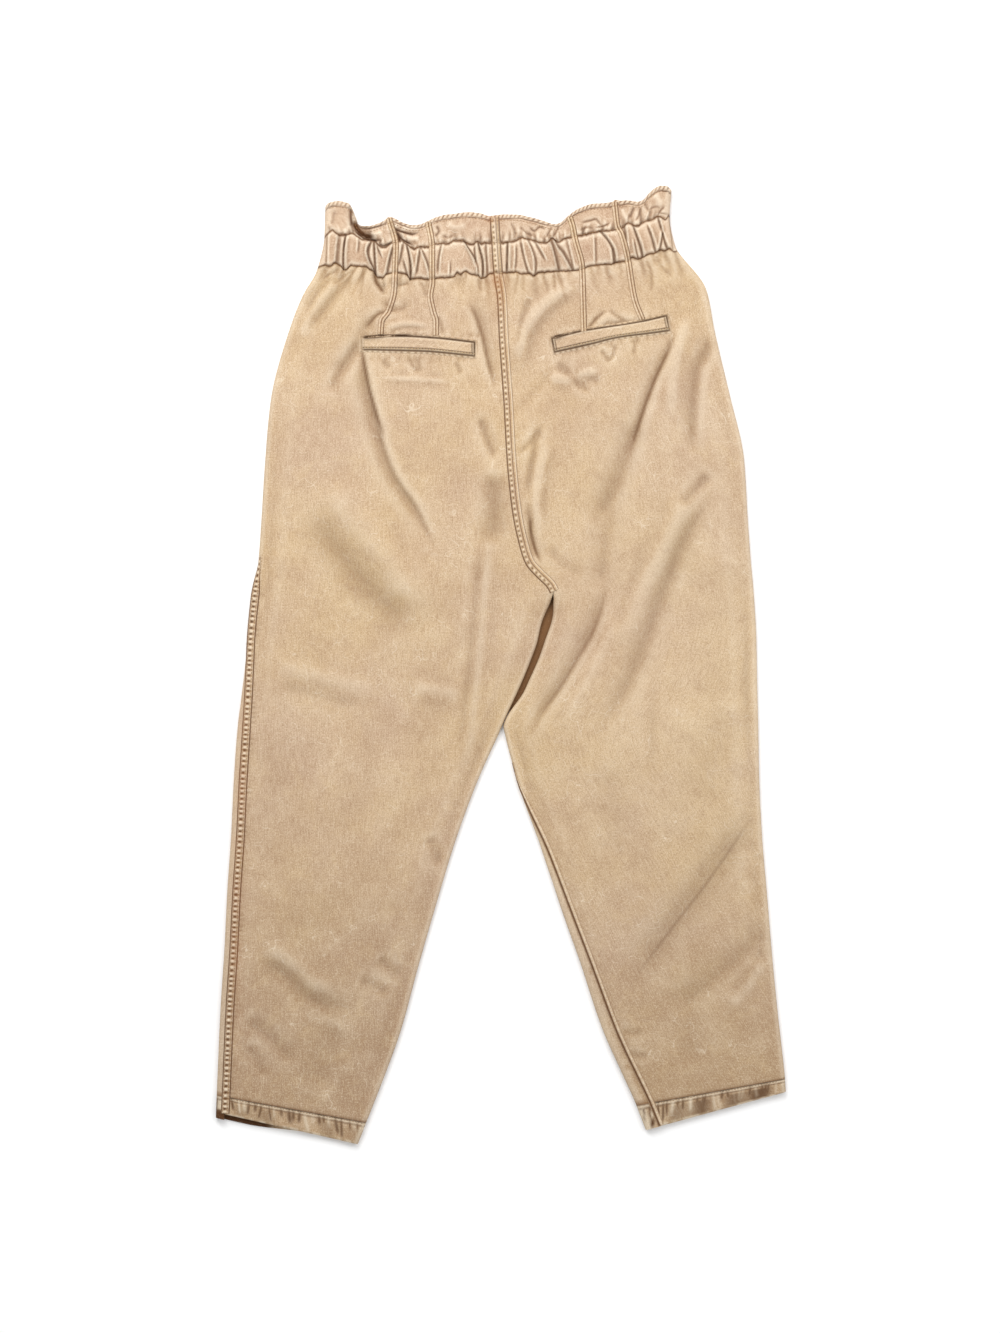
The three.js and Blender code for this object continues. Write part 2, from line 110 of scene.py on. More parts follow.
# heights of the waist's lines against x: the free edge and the two stitched rows
waistLines = {
    "edge": [(-186, 476), (-181, 483), (-172, 485), (-160, 484), (-155.5, 478), (-153, 471), (-150, 462.5), (-145, 460),
             (-138, 459.5), (-129, 462), (-121, 466), (-117, 469), (-110, 466.5), (-103, 463), (-93, 460.5),
             (-85, 461.5), (-76, 465), (-68, 468.5), (-58, 471), (-47, 473), (-32, 473.5), (-21, 472), (-12, 470),
             (5, 471.5), (18, 470.5), (32, 468), (43, 465), (55, 461), (62, 462.5), (70, 469.5), (81, 477),
             (93, 481.5), (105, 483), (116, 484.5), (120, 487), (126, 485.5), (135, 486), (143, 485), (149, 487),
             (155, 493.5), (161, 498.5), (167, 501), (173, 501), (179, 497)],
    "upper": [(-186, 447), (-181, 451), (-177, 455), (-173, 452), (-169, 449.5), (-162, 449.5), (-156, 451.5),
              (-150, 448.5), (-144.5, 445), (-138, 444), (-132, 443), (-127, 438.5), (-121, 437), (-115.5, 440.5),
              (-104, 443), (-95.5, 438.5), (-91, 435.5), (-86, 437.5), (-75, 437.5), (-67.5, 440.5), (-55, 440.5),
              (-50, 444), (-40, 443.5), (-34, 440), (-29, 439.5), (-24.5, 443), (-21, 441), (-6, 441.5), (7, 442),
              (16, 444), (22, 447.5), (27, 445), (35, 444), (41, 441.5), (48, 442), (54, 446.5), (59.5, 442.5),
              (69, 446.5), (78, 448), (88, 450.5), (99, 452.5), (111, 454.5), (120, 455), (127, 457), (133, 462),
              (142, 459.5), (150.5, 464), (157.5, 465.5), (166, 469.5), (171.5, 466), (176, 470), (180, 470)],
    "lower": [(-194, 415), (-184, 417.5), (-179, 417), (-174, 420), (-169, 418.5), (-163, 412.5), (-157, 417),
              (-142, 417), (-137.5, 413), (-133, 411), (-129.5, 405.5), (-123.5, 405), (-120, 409), (-110, 410),
              (-98, 408), (-95, 403.5), (-87, 404), (-79, 403), (-65, 404.5), (-49, 405.5), (-46, 410), (-42.5, 408.5),
              (-37, 411.5), (-29, 408), (-24.5, 408), (-21, 404), (-16, 405.5), (-11.5, 408.5), (-6, 409.5), (9, 410),
              (15, 411), (22, 408.5), (29, 409.5), (35, 407), (38.5, 410), (60, 411.5), (78, 412.5), (86, 414),
              (93, 417), (114, 419), (124, 421), (132, 422), (137.5, 426), (142, 424.5), (149, 426), (153, 429),
              (162, 431), (168, 434), (171.5, 432.5), (176, 435), (181, 432), (187, 435)],
}


def smoothCurve(at, values):  # through every point, with no overshoot between them
    at, values = np.asarray(at, float), np.asarray(values, float)
    step = np.diff(at)
    slope = np.diff(values) / step
    turn = np.concatenate([[slope[0]], np.zeros(len(values) - 2), [slope[-1]]])
    before, after = slope[:-1], slope[1:]
    same = before * after > 0
    turn[1:-1][same] = 2 * before[same] * after[same] / (before + after)[same]

    def read(q):
        q = np.clip(q, at[0], at[-1])
        i = np.clip(np.searchsorted(at, q, side="right") - 1, 0, len(at) - 2)
        k = (q - at[i]) / step[i]
        bend = k * k * (3 - 2 * k)
        lean = turn[i] * (k**3 - 2 * k * k + k) + turn[i + 1] * (k**3 - k * k)
        return values[i] * (1 - bend) + values[i + 1] * bend + step[i] * lean
    return read


def ease(low, high, value):
    k = np.clip((value - low) / (high - low), 0, 1)
    return k * k * (3 - 2 * k)


def mix(a, b, share):
    return a + (b - a) * share


def halfLines(side):  # the outline of one half as curves against the station number
    rows = [dict(r, inner=r["seam"], outer=r[side], rise=r[side + "Rise"]) for r in form["trunk"]]
    rows += [dict(r, edge=form["legEdge"], level=form["endLevels"].get(r["at"], form["legLevel"])) for r in form[side]]
    names = ("y", "inner", "outer", "rise", "edge", "level")
    return {n: smoothCurve(range(len(rows)), [r[n] for r in rows]) for n in names}


lines = {side: halfLines(side) for side in ("left", "right")}
station = {r["at"]: i for i, r in enumerate(form["trunk"] + form["left"])}
waist = {name: smoothCurve(*zip(*points)) for name, points in waistLines.items()}
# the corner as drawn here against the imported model's gives the shift into the frame
drawnCorner = np.array([-299, -503, 0])
shift = np.array([cadBounds[0][0] / mm, cadBounds[0][1] / mm, 0]) - drawnCorner

# small bumps where the gathers pull the stitched rows out of line
wiggles = {
    "upper": dict(gap=(3, 7), height=(-0.9, 0.8), width=(0.9, 1.8)),
    "lower": dict(gap=(3, 7), height=(-0.9, 0.7), width=(0.9, 1.8)),
    "edge": dict(gap=(9, 22), height=(-0.8, 0.8), width=(4, 8)),
}
for wiggle in wiggles.values():
    at, bumps = -190.0, []
    while at < 190:
        bumps.append((at, rng.uniform(*wiggle["height"]), rng.uniform(*wiggle["width"])))
        at += rng.uniform(*wiggle["gap"])
    wiggle["bumps"] = bumps


def waistY(name, x):
    return waist[name](x) + sum(h * np.exp(-(((x - at) / w) ** 2)) for at, h, w in wiggles[name]["bumps"])


# ---- folds: each runs along a route, a trough where the depth is negative. left and right are its
# widths to either side of the route, sharp goes from round to pointed and the column after it is how much shade is
# painted along it
foldColumns = ("depth", "left", "right", "sharp", "soil", "route")
folds = [
    (-2.4, 4, 2, 1, 1, [(30, 160), (31, 140), (35, 122), (43, 103)]),
    (-2.6, 3, 10, 0.3, 0.5, [(-147, 343), (-143, 300), (-131, 250), (-114, 200), (-89, 162), (-66, 118)]),
    (-1.8, 3, 5, 0.8, 1, [(-147, 342), (-144, 320), (-139, 294), (-131, 264), (-119, 230)]),
    (-1.4, 9, 5, 0.3, 0.2, [(-146, 341), (-160, 318), (-172, 300), (-182, 282)]),
    (-2, 8, 3, 0.9, 0.8, [(-38, 380), (-31, 374), (-20, 346), (-13, 316), (-5, 286)]),
    (-1.6, 7, 5, 0.3, 0.15, [(-24, 262), (-12, 229), (-5, 212)]),
    (-1.8, 13, 12, 0.3, 0.1, [(-9, 204), (-7, 160), (-12, 120)]),
    (0.7, 7, 12, 0, 0, [(-11, 152), (-17, 90), (-26, -15), (-39, -122)]),
    (-0.8, 10, 7, 0.3, 0.1, [(-18, 146), (-25, 80), (-34, -15), (-46, -110)]),
    (2.4, 24, 18, 0, 0, [(-190, 200), (-139, 132), (-106, 95), (-62, 48)]),
    (-1.5, 15, 18, 0.3, 0.08, [(-205, 165), (-160, 105), (-118, 60), (-80, 28)]),
    (-2, 7, 9, 0.3, 0.15, [(-129, 370), (-143, 345), (-160, 318), (-176, 296)]),
    (-1.7, 6, 9, 0.3, 0.12, [(-153, 411), (-180, 378), (-206, 345)]),
    (1.6, 8, 6, 0, 0, [(-165, 407), (-190, 376), (-213, 338)]),
    (-1.3, 5, 7, 0.3, 0.1, [(-172, 410), (-192, 390), (-207, 366)]),
    (2.2, 7, 10, 0, 0, [(82, 400), (60, 388), (41, 371), (21, 341), (16, 305)]),
    (-1.5, 5, 5, 0.3, 0.2, [(31, 388), (22, 360), (14, 328)]),
    (-1.8, 6, 4.5, 0.3, 0.2, [(57, 319), (74, 300), (96, 283)]),
    (1.6, 5, 6, 0, 0, [(48, 306), (62, 299), (82, 302), (104, 311)]),
    (-1.3, 5, 6, 0.3, 0.1, [(72, 306), (90, 300), (108, 299)]),
    (-2.2, 3.5, 9, 1, 1, [(184, 350), (174, 326), (162, 300), (150, 268), (139, 234), (129, 204)]),
    (-1.6, 9, 14, 0.4, 0.3, [(150, 262), (134, 224), (120, 188), (106, 160), (99, 140)]),
    (-1, 10, 15, 0.4, 0.14, [(120, 185), (111, 140), (106, 100), (100, 70)]),
    (-1.8, 5, 15, 0.9, 0.7, [(112, 88), (106, 62), (96, 34), (80, 6), (62, -24), (42, -52), (26, -82)]),
    (0.9, 14, 8, 0.2, 0, [(128, 60), (106, 14), (84, -30), (58, -74)]),
    (-1.6, 9, 13, 0.5, 0.2, [(231, 193), (206, 155), (186, 116), (169, 70), (148, 14), (131, -25), (108, -63),
     (93, -92)]),
    (1.8, 16, 14, 0, 0, [(206, 196), (176, 128), (142, 60), (118, 0)]),
    (-1.4, 8, 8, 0.3, 0.08, [(220, 202), (204, 184), (186, 163)]),
    (-1.8, 6, 9, 0.3, 0.14, [(219, 354), (216, 330), (205, 306), (201, 262), (200, 214)]),
    (1.5, 8, 8, 0, 0, [(196, 372), (188, 340), (180, 300), (178, 250)]),
    (-2, 5, 4, 0.3, 0.3, [(27, 172), (29, 157), (31, 132), (35, 106)]),
    (-1.7, 5, 5, 0.3, 0.2, [(46, 258), (38, 240), (30, 200), (26, 170)]),
    (1.3, 5, 6, 0, 0, [(50, 236), (42, 205), (37, 168), (40, 130)]),
    (-1.3, 4, 4, 0.3, 0.2, [(42, 246), (30, 232), (18, 220)]),
    (-0.8, 8, 8, 0.3, 0.1, [(48, 128), (66, 104), (92, 92)]),
    (-1.3, 12, 10.5, 0.3, 0.16, [(-256, -305), (-236, -318), (-219, -330), (-206, -346), (-177, -358),
     (-146, -362)]),
    (1.05, 12, 12, 0, 0, [(-250, -290), (-222, -312), (-196, -334), (-165, -342)]),
    (-0.99, 10.5, 9, 0.3, 0.12, [(-268, -369), (-236, -397), (-213, -420)]),
    (-0.81, 7.5, 9, 0.3, 0.1, [(-150, -328), (-130, -337), (-114, -346)]),
    (-0.87, 7.5, 7.5, 0.3, 0.14, [(-264, -396), (-256, -414), (-246, -434)]),
    (-0.87, 7.5, 9, 0.3, 0.1, [(-129, -306), (-116, -318), (-103, -328)]),
    (-0.81, 7.5, 9, 0.3, 0.1, [(-76, -178), (-68, -196), (-62, -212)]),
    (-0.87, 21, 18, 0.3, 0.05, [(-170, -375), (-185, -410), (-196, -452)]),
    (0.74, 12, 13.5, 0, 0, [(-243, 0), (-200, -10), (-147, -23), (-120, -26)]),
    (0.68, 9, 10.5, 0, 0, [(-96, -22), (-68, -27), (-38, -32)]),
    (-0.68, 13.5, 13.5, 0.3, 0.05, [(-236, -20), (-190, -33), (-140, -45)]),
    (0.81, 24, 27, 0, 0, [(-150, -60), (-172, -140), (-190, -230), (-200, -290)]),
    (-0.68, 22.5, 22.5, 0.3, 0.04, [(-220, -60), (-238, -150), (-248, -240)]),
    (0.81, 22.5, 24, 0, 0, [(-90, -70), (-118, -150), (-136, -240), (-150, -300)]),
    (-1.3, 15, 18, 0.02, 0.6, [(268, -150), (252, -176), (236, -200), (212, -234), (190, -262), (166, -294),
     (148, -318), (130, -346)]),
    (-0.3, 9, 11, 0.05, 0.45, [(250, -182), (228, -212), (204, -246), (180, -276), (156, -306)]),
    (-1.1, 10, 16, 0.4, 0.14, [(284, -262), (258, -300), (232, -322), (206, -344), (180, -372)]),
    (-0.99, 9, 9, 0.3, 0.12, [(280, -288), (262, -318), (238, -352)]),
    (0.74, 9, 10.5, 0, 0, [(276, -306), (256, -336), (236, -366)]),
    (-0.87, 5.2, 5.2, 0.3, 0.2, [(268, -196), (276, -206), (286, -212)]),
    (-0.74, 5.2, 5.2, 0.3, 0.15, [(270, -284), (280, -289), (288, -290)]),
    (-0.81, 4.5, 4.5, 0.3, 0.2, [(128, -382), (138, -386), (150, -384)]),
    (-0.81, 4.5, 4.5, 0.3, 0.2, [(134, -404), (144, -410), (156, -410)]),
    (0.93, 27, 27, 0, 0, [(205, -20), (190, -90), (180, -150), (170, -190)]),
    (-0.74, 21, 21, 0.3, 0.05, [(240, -40), (226, -100), (214, -160)]),
    (-0.68, 18, 18, 0.3, 0.05, [(110, -100), (118, -160), (128, -220)]),
    (-0.81, 18, 21, 0.3, 0.05, [(190, -330), (200, -380), (206, -430)]),
    (-3.2, 3, 2.6, 0.6, 1.3, [(-133, 414), (-131, 402), (-126, 394), (-120.5, 386)]),
    (-1.5, 1.4, 1.4, 1, 0.7, [(-126, 408), (-123, 400), (-120.5, 392)]),
    (1.5, 6, 6, 0, 0, [(-117, 404), (-106, 404), (-98, 404)]),
    (-1.6, 1.5, 1.5, 1, 0.7, [(-110, 397), (-103, 397.5), (-97, 400), (-94.5, 406)]),
    (-1.3, 2, 2, 0.8, 0.35, [(-188, 403), (-177, 410), (-166, 414)]),
    (-1.2, 2, 2, 0.8, 0.3, [(-152, 416), (-163, 407), (-178, 396)]),
    (-1.4, 2, 2.4, 0.8, 0.5, [(150, 426), (157, 412), (158, 398), (156, 388)]),
    (-1.3, 3, 3, 0.6, 0.3, [(161, 430), (168, 417), (180, 405)]),
    (-1.3, 2, 2.4, 0.8, 0.4, [(-85, 402), (-80, 392), (-78, 382)]),
    (-1.2, 2, 2, 0.8, 0.4, [(-21, 406), (-22, 396), (-19, 388)]),
    (-1.9, 2.4, 2.6, 0.6, 0.85, [(89, 347), (98, 360), (112, 372)]),
    (-1.5, 2.2, 2.4, 0.6, 0.6, [(112, 372), (121, 365), (136, 356)]),
    (1.4, 5, 5, 0, 0, [(101, 355), (113, 364), (124, 358)]),
    (-1, 2, 2, 0.8, 0.3, [(102, 354), (118, 358), (140, 359)]),
    (-1, 2, 2, 0.7, 0.3, [(-118, 349), (-98, 353), (-76, 351)]),
    (1.2, 4, 4, 0, 0, [(-122, 352), (-98, 357), (-74, 354)]),
    (-1.3, 2.5, 3, 0.6, 0.3, [(-66, 366), (-62, 354), (-60, 345)]),
    # the pockets: the slot over each welt, the dark ends, the line of the bag under the left one
    (-2.2, 1.6, 1.8, 0.3, 0.85, [(-146, 344), (-134, 344), (-118, 344.5)]),
    (-2.2, 1.8, 1.5, 0.3, 0.9, [(-119, 342), (-104, 344), (-84, 343), (-62, 341)]),
    (-1.7, 1.4, 1.5, 0.3, 0.6, [(-70, 341), (-50, 339), (-26, 336)]),
    (-1.4, 1.6, 1.6, 0.3, 0.7, [(-26.5, 339), (-26, 331), (-27.5, 321)]),
    (-1.5, 1.4, 1.6, 0.3, 0.7, [(51, 341), (54, 333), (57, 324)]),
    (-1.9, 1.6, 1.6, 0.3, 0.75, [(52, 342), (72, 344), (88, 346), (106, 352)]),
    (-1.8, 1.6, 1.6, 0.3, 0.7, [(104, 352), (126, 357), (150, 360), (173, 365)]),
    (-1.5, 1.6, 1.6, 0.3, 0.8, [(172, 366), (176, 358), (178, 349)]),
    (0.9, 2.5, 2.5, 0, 0, [(-128, 301), (-100, 299.5), (-72, 298), (-48, 296)]),
    (-1.5, 2.5, 3, 0.3, 0.3, [(-88, 322), (-86, 314), (-84, 304)]),
    (-1.5, 2.5, 2.5, 0.3, 0.3, [(-97, 322), (-92, 313), (-87, 305)]),
    (-1.2, 2.5, 3, 0.3, 0.2, [(-124, 320), (-120, 314), (-114, 312)]),
    (-1.2, 2.5, 3, 0.3, 0.2, [(-48, 318), (-44, 311), (-42, 303)]),
    (-1.5, 2.5, 2.5, 0.3, 0.3, [(104, 330), (110, 322), (113, 314)]),
    (-1.3, 2.5, 2.5, 0.3, 0.25, [(120, 336), (118, 326), (112, 316)]),
    (-1.2, 2.5, 2.5, 0.3, 0.2, [(138, 342), (140, 332), (138, 322)]),
    (-2, 2.6, 3, 0.6, 0.9, [(-107, 371), (-126, 368), (-137, 358), (-145, 347)]),
    (-1.5, 4, 5, 0.3, 0.15, [(-112, 384), (-120, 376), (-106, 372), (-94, 384)]),
]
# in the heading: its left part sags over the casing, the gathers crumple the rest, with painted shade under the sag and
# in the creases
headingFolds = [
    (-1, 3, 3, 0.85, 0.2, [(-174, 476), (-175, 469), (-177, 459)]),
    (-2.6, 2, 3.5, 0.85, 0.9, [(-157, 480), (-157, 470), (-156, 462), (-153, 456)]),
    (-4.2, 2, 2.4, 0.85, 1, [(-155, 460), (-150, 452), (-144, 447.5), (-137, 445), (-130, 444), (-123, 444.5)]),
    (-2.2, 8, 5, 0, 1.4, [(-156, 466), (-149, 455), (-141, 449), (-130, 447)]),
    (-2, 1.4, 1.6, 0.85, 0.8, [(-124, 446), (-127, 441), (-123, 438.5), (-118, 440), (-112, 444)]),
    (-1.4, 1.3, 1.3, 0.85, 0.8, [(-151, 458), (-141, 456), (-129, 458.5), (-118, 463.5)]),
    (-2.6, 1.8, 1.8, 0.85, 1, [(-117, 467), (-114.5, 459), (-103, 453), (-92, 450.5), (-84, 454)]),
    (-2.8, 1.8, 2, 0.85, 1, [(-111, 455), (-103, 445), (-96, 441), (-91, 437.5)]),
    (-2, 5, 5, 0, 1.3, [(-113, 457), (-108, 448), (-105, 441)]),
    (1.7, 4, 4, 0.3, 0, [(-143, 453), (-131, 450.5), (-121, 453)]),
    (1.3, 3, 3, 0.3, 0, [(-105, 458), (-94, 456), (-84, 459)]),
    (1.4, 4, 3, 0.3, 0, [(-101, 449), (-92, 445), (-84, 448)]),
    (-1.7, 2, 3, 0.85, 0.6, [(-77, 464), (-73, 456), (-70, 447)]),
    (-1.6, 2, 2, 0.85, 0.65, [(-68, 460), (-65, 454), (-70, 447)]),
    (-0.8, 2, 2, 0.85, 0.35, [(-62, 450), (-55, 447), (-48, 450)]),
    (1.1, 5, 5, 0.3, 0, [(-58, 463), (-46, 458), (-34, 462)]),
    (-1, 1.5, 2, 0.85, 0.35, [(19, 459), (27, 452), (36, 448)]),
    (-1.5, 1.4, 1.3, 0.85, 0.6, [(29, 459), (35, 454), (41, 458), (48, 455)]),
    (-0.9, 2, 1.6, 0.85, 0.3, [(10, 463), (14, 455), (16, 448)]),
    (-1.2, 1.6, 1.6, 0.85, 0.45, [(61, 460), (58, 453), (55, 447)]),
    (-1, 1.6, 1.6, 0.85, 0.35, [(54, 459), (50, 452), (47, 446)]),
    (-1.5, 1.5, 1.4, 0.85, 0.6, [(83, 462), (93, 464.5), (99, 466), (104, 461), (107, 457)]),
    (-1.4, 1.3, 1.4, 0.85, 0.6, [(98, 457), (108, 459), (115, 463)]),
    (-1, 1.4, 1.4, 0.85, 0.4, [(82, 454), (91, 457.5), (99, 456)]),
    (-1.6, 1.8, 1.8, 0.85, 0.5, [(140, 480), (137, 473), (134, 466)]),
    (-1.4, 1.6, 1.8, 0.85, 0.4, [(147, 480), (145, 471), (140, 463)]),
    (-1, 2, 2, 0.85, 0.3, [(150, 485), (153, 478), (158, 471)]),
    (-1.7, 1.6, 1.6, 0.85, 0.7, [(172, 480), (167, 475), (164, 469)]),
    (-1.2, 1.4, 1.4, 0.85, 0.6, [(178, 471), (171, 472), (165, 473)]),
    (-0.9, 1.5, 1.5, 0.85, 0.35, [(155, 476), (162, 479), (169, 477)]),
    (1.2, 5, 5, 0.3, 0, [(160, 493), (166, 486), (172, 481)]),
    (1, 3, 3, 0.3, 0, [(127, 479), (129, 471), (133, 464)]),
]
# painted shade in the crevice between the legs, laid on the hidden front's inner face
inTheFork = [(1, 11, 11, 0, 1, [(60, 96), (56, 80), (51, 56), (38, 20), (24, -20), (4, -66), (-2, -84)])]
folds, headingFolds, inTheFork = ([dict(zip(foldColumns, row)) for row in book]
                                  for book in (folds, headingFolds, inTheFork))
wideFolds = [f for f in folds if min(f["left"], f["right"]) > 6]  # all that comes through to the front


def curvedRoute(points, count=28):
    points = np.asarray(points, float)
    along = np.concatenate([[0], np.cumsum(np.hypot(*np.diff(points, axis=0).T))])
    at = np.linspace(0, along[-1], count)
    return np.stack([smoothCurve(along, points[:, k])(at) for k in (0, 1)], axis=1)


def foldRelief(book, x, y):
    height, soil = np.zeros(x.shape), np.zeros(x.shape)
    for f in book:
        route = curvedRoute(f["route"])
        reach = 2.6 * max(f["left"], f["right"])
        low, high = route.min(axis=0) - reach, route.max(axis=0) + reach
        near = (x > low[0]) & (x < high[0]) & (y > low[1]) & (y < high[1])
        if not near.any():
            continue
        px, py = x[near], y[near]
        best = np.full(px.shape, 1e9)
        sideOf, alongOf = np.zeros(px.shape), np.zeros(px.shape)
        steps = np.diff(route, axis=0)
        for i, (dx, dy) in enumerate(steps):
            length = math.hypot(dx, dy)
            rx, ry = px - route[i, 0], py - route[i, 1]
            k = np.clip((rx * dx + ry * dy) / length**2, 0, 1)
            far = np.hypot(rx - k * dx, ry - k * dy)
            closer = far < best
            best[closer] = far[closer]
            sideOf[closer] = (dx * ry - dy * rx)[closer]
            alongOf[closer] = ((i + k) / len(steps))[closer]
        width = np.where(sideOf > 0, f["left"], f["right"])
        ends = ease(0, 0.22, alongOf) * ease(1, 0.72, alongOf)
        point = 0.12 * width
        crisp = np.exp(-(np.sqrt(best * best + point * point) - point) / (0.62 * width))
        shape = ends * mix(np.exp(-((best / width) ** 2)), crisp, f.get("sharp", 0.3 if f["depth"] < 0 else 0))
        broad = ease(4, 11, max(f["left"], f["right"]))
        height[near] += f["depth"] * mix(1.1, 2, broad) * shape
        # painted shade along the fold's line, and over the broad troughs
        tight = np.exp(-((best / (0.55 * np.minimum(width, 5))) ** 2))
        soil[near] = np.maximum(soil[near], f["soil"] * ends * np.maximum(tight, 0.45 * shape))
        if f["depth"] < 0:
            soil[near] = np.maximum(soil[near], 0.4 * broad * min(1, abs(f["depth"]) / 1.5) ** 2 * shape)
    return height, soil


# ---- puckers: short pulls that start at a stitched row and fade into the cloth
def makePuckers(rowAt, start, end, gap, length, depth, width, lean, way):
    found, at = [], start + rng.uniform(*gap)
    while at < end:
        tilt = lean * at / 190 + rng.uniform(-0.28, 0.28)
        direction = np.array([math.sin(tilt), way * math.cos(tilt)])
        found.append((at, float(rowAt(at)), *direction, rng.uniform(*length), rng.uniform(*depth), rng.uniform(*width)))
        at += rng.uniform(*gap)
    return found


def puckerRelief(puckers, x, y):
    height, soil = np.zeros(x.shape), np.zeros(x.shape)
    for x0, y0, dx, dy, length, depth, width in puckers:
        near = (np.abs(x - x0) < length + 12) & (np.abs(y - y0) < length + 12)
        if not near.any():
            continue
        rx, ry = x[near] - x0, y[near] - y0
        along, off = rx * dx + ry * dy, rx * dy - ry * dx
        spread = width * (1 + 0.9 * np.clip(along / length, 0, 1))
        fade = ease(-4, 1, along) * ease(length, 0.15 * length, along)
        shape = fade * np.exp(-((off / spread) ** 2))
        height[near] -= depth * shape
        # painted shade in each pucker's trough near its row
        soil[near] = np.maximum(soil[near], 0.5 * shape * ease(0.6 * length, 0, along) * np.clip(depth / 1.4, 0, 1))
    return height, soil


puckers = {
    "heading": makePuckers(lambda x: waistY("upper", x) + 2, -182, 176, (2.5, 9), (5, 17), (-1.3, 1.5), (0.7, 1.5), 0.3, 1),
    "underCasing": makePuckers(lambda x: waistY("lower", x), -190, 186, (3.5, 15), (7, 42), (0.4, 2), (1.1, 2.8), 0.5, -1),
    "overCasing": makePuckers(lambda x: waistY("upper", x), -184, 178, (5, 13), (6, 19), (0.8, 2), (1.5, 2.8), 0.25, 1),
    "underWelts": makePuckers(lambda x: 322 if x < 0 else 326 + 0.17 * (x - 54), -146, 178, (5, 12),
                              (4, 11), (0.4, 1), (1.4, 2.4), 0, -1),
    "overWelts": makePuckers(lambda x: 344 if x < 0 else 342 + 0.19 * (x - 54), -144, 176, (5, 12),
                             (4, 12), (0.4, 1), (1.5, 2.5), 0, 1),
}
betweenWelts = (-24, 54)
for name in ("underWelts", "overWelts"):
    puckers[name] = [p for p in puckers[name] if not betweenWelts[0] < p[0] < betweenWelts[1]]

# the elastic casing between its rows: puffs with a thin crest beside a hollow darkened by painted shade, leaning and
# bowed.
# start and end are shares of the casing's height, way is the side the hollow lies on
casingForm = {"bulge": 2, "wave": 0.7, "waveLong": 7.3, "drift": 23, "beside": 1.9, "sunk": 1.1, "slim": 0.75}
ridgeColumns = ("top", "foot", "bow", "start", "end", "crest", "way", "hollow", "dark")
casingRidges = {"back": [
    (-180, -181, 0, 0, 1, 1.6, -1, 1.2, 0.5), (-171, -174, 0, 0, 1, 1.8, 1, 3.4, 0.6),
    (-160.4, -162.7, -1, 0, 1.1, 2.5, -1, 1.4, 1), (-150, -154, 1, 0, 0.5, 1, 1, 1.5, 0.35),
    (-137, -133, -6, 0, 1, 2.3, 1, 2, 0.95), (-131, -129, 0, 0, 1.2, 1.6, -1, 1.8, 1),
    (-129, -112, 0, 0.02, 0.3, 1.6, -1, 1.6, 0.6), (-113, -121, -1, 0, 1, 2.5, 1, 2.2, 0.6),
    (-103.5, -110, 0, 0, 0.7, 1.7, 1, 2, 0.35), (-104, -96, -1, 0.6, 1, 1.2, -1, 1.8, 0.7),
    (-97, -92.5, 2, 0, 1.1, 2.5, -1, 1.8, 1), (-86, -91, 0, 0, 0.8, 1.8, 1, 1.6, 0.55),
    (-86, -74.5, 1.5, 0.1, 1, 1.9, 1, 1.4, 0.65), (-60, -64, -1.5, 0, 0.8, 1.3, -1, 1.6, 0.35),
    (-56, -55, 1, 0.6, 1.1, 0.9, 1, 1.2, 0.45), (-40, -25.5, 4, 0, 1, 2.3, 1, 1.3, 0.5),
    (-26, -24, 0, 0.1, 1, 1.6, -1, 1.2, 0.5), (-22.5, -17, 2.5, 0, 1, 2.3, -1, 1.6, 1),
    (-14, -12, 0, 0, 1, 1.2, -1, 1.5, 0.6), (9, 8.3, 0, 0, 1, 2.4, -1, 1.5, 0.9),
    (14, 13, 1, 0.2, 0.9, 1, 1, 1.6, 0.35), (22, 31, -1, 0.1, 1, 1.5, -1, 1.6, 0.4),
    (26, 34, 4, 0, 1, 1.5, 1, 1.6, 0.55), (37, 52, 2, 0, 0.55, 1.6, -1, 2, 0.5),
    (50, 59, 1, 0, 1, 1.2, 1, 3, 0.85), (55, 73.5, 0.5, 0, 1, 2.6, 1, 2.4, 0.8),
    (70, 78, 0, 0, 1, 0.9, -1, 1.6, 0.45), (97, 98, 0, 0.15, 0.95, 1, 1, 2, 0.2),
    (106, 121.5, 4.5, 0, 1, 2.4, -1, 1.6, 0.45), (110, 116.5, 1, 0.6, 1.1, 1.3, 1, 1.2, 0.35),
    (130.7, 133.5, 1, 0, 1, 1.6, -1, 1.4, 0.75), (140, 150.5, 1, 0, 1, 1.6, -1, 1.6, 1),
    (136, 142, -1, 0.5, 1.1, 1.3, 1, 1.2, 0.55), (153, 164, 1, 0.2, 1, 1.9, -1, 1.4, 0.5),
    (166, 176.5, 0, 0, 1, 2.4, -1, 1.5, 0.85), (171, 164.5, 0, 0.35, 1, 1.6, 1, 1.3, 0.55),
    (178, 182, 0, 0, 1, 1.2, -1, 1.2, 0.5)], "front": []}
casingRidges["back"] = [dict(zip(ridgeColumns, row)) for row in casingRidges["back"]]
at = -190.0
while at < 188:
    casingRidges["front"].append(dict(
        top=at, foot=at + rng.uniform(-9, 9), bow=rng.uniform(-4, 4), start=rng.uniform(-0.3, 0.4),
        end=rng.uniform(0.6, 1.3), crest=rng.uniform(0.9, 2.5), way=rng.choice([-1, 1]),
        hollow=rng.uniform(1.2, 2.6), dark=rng.uniform(0.2, 0.9)))
    at += rng.uniform(4, 14)


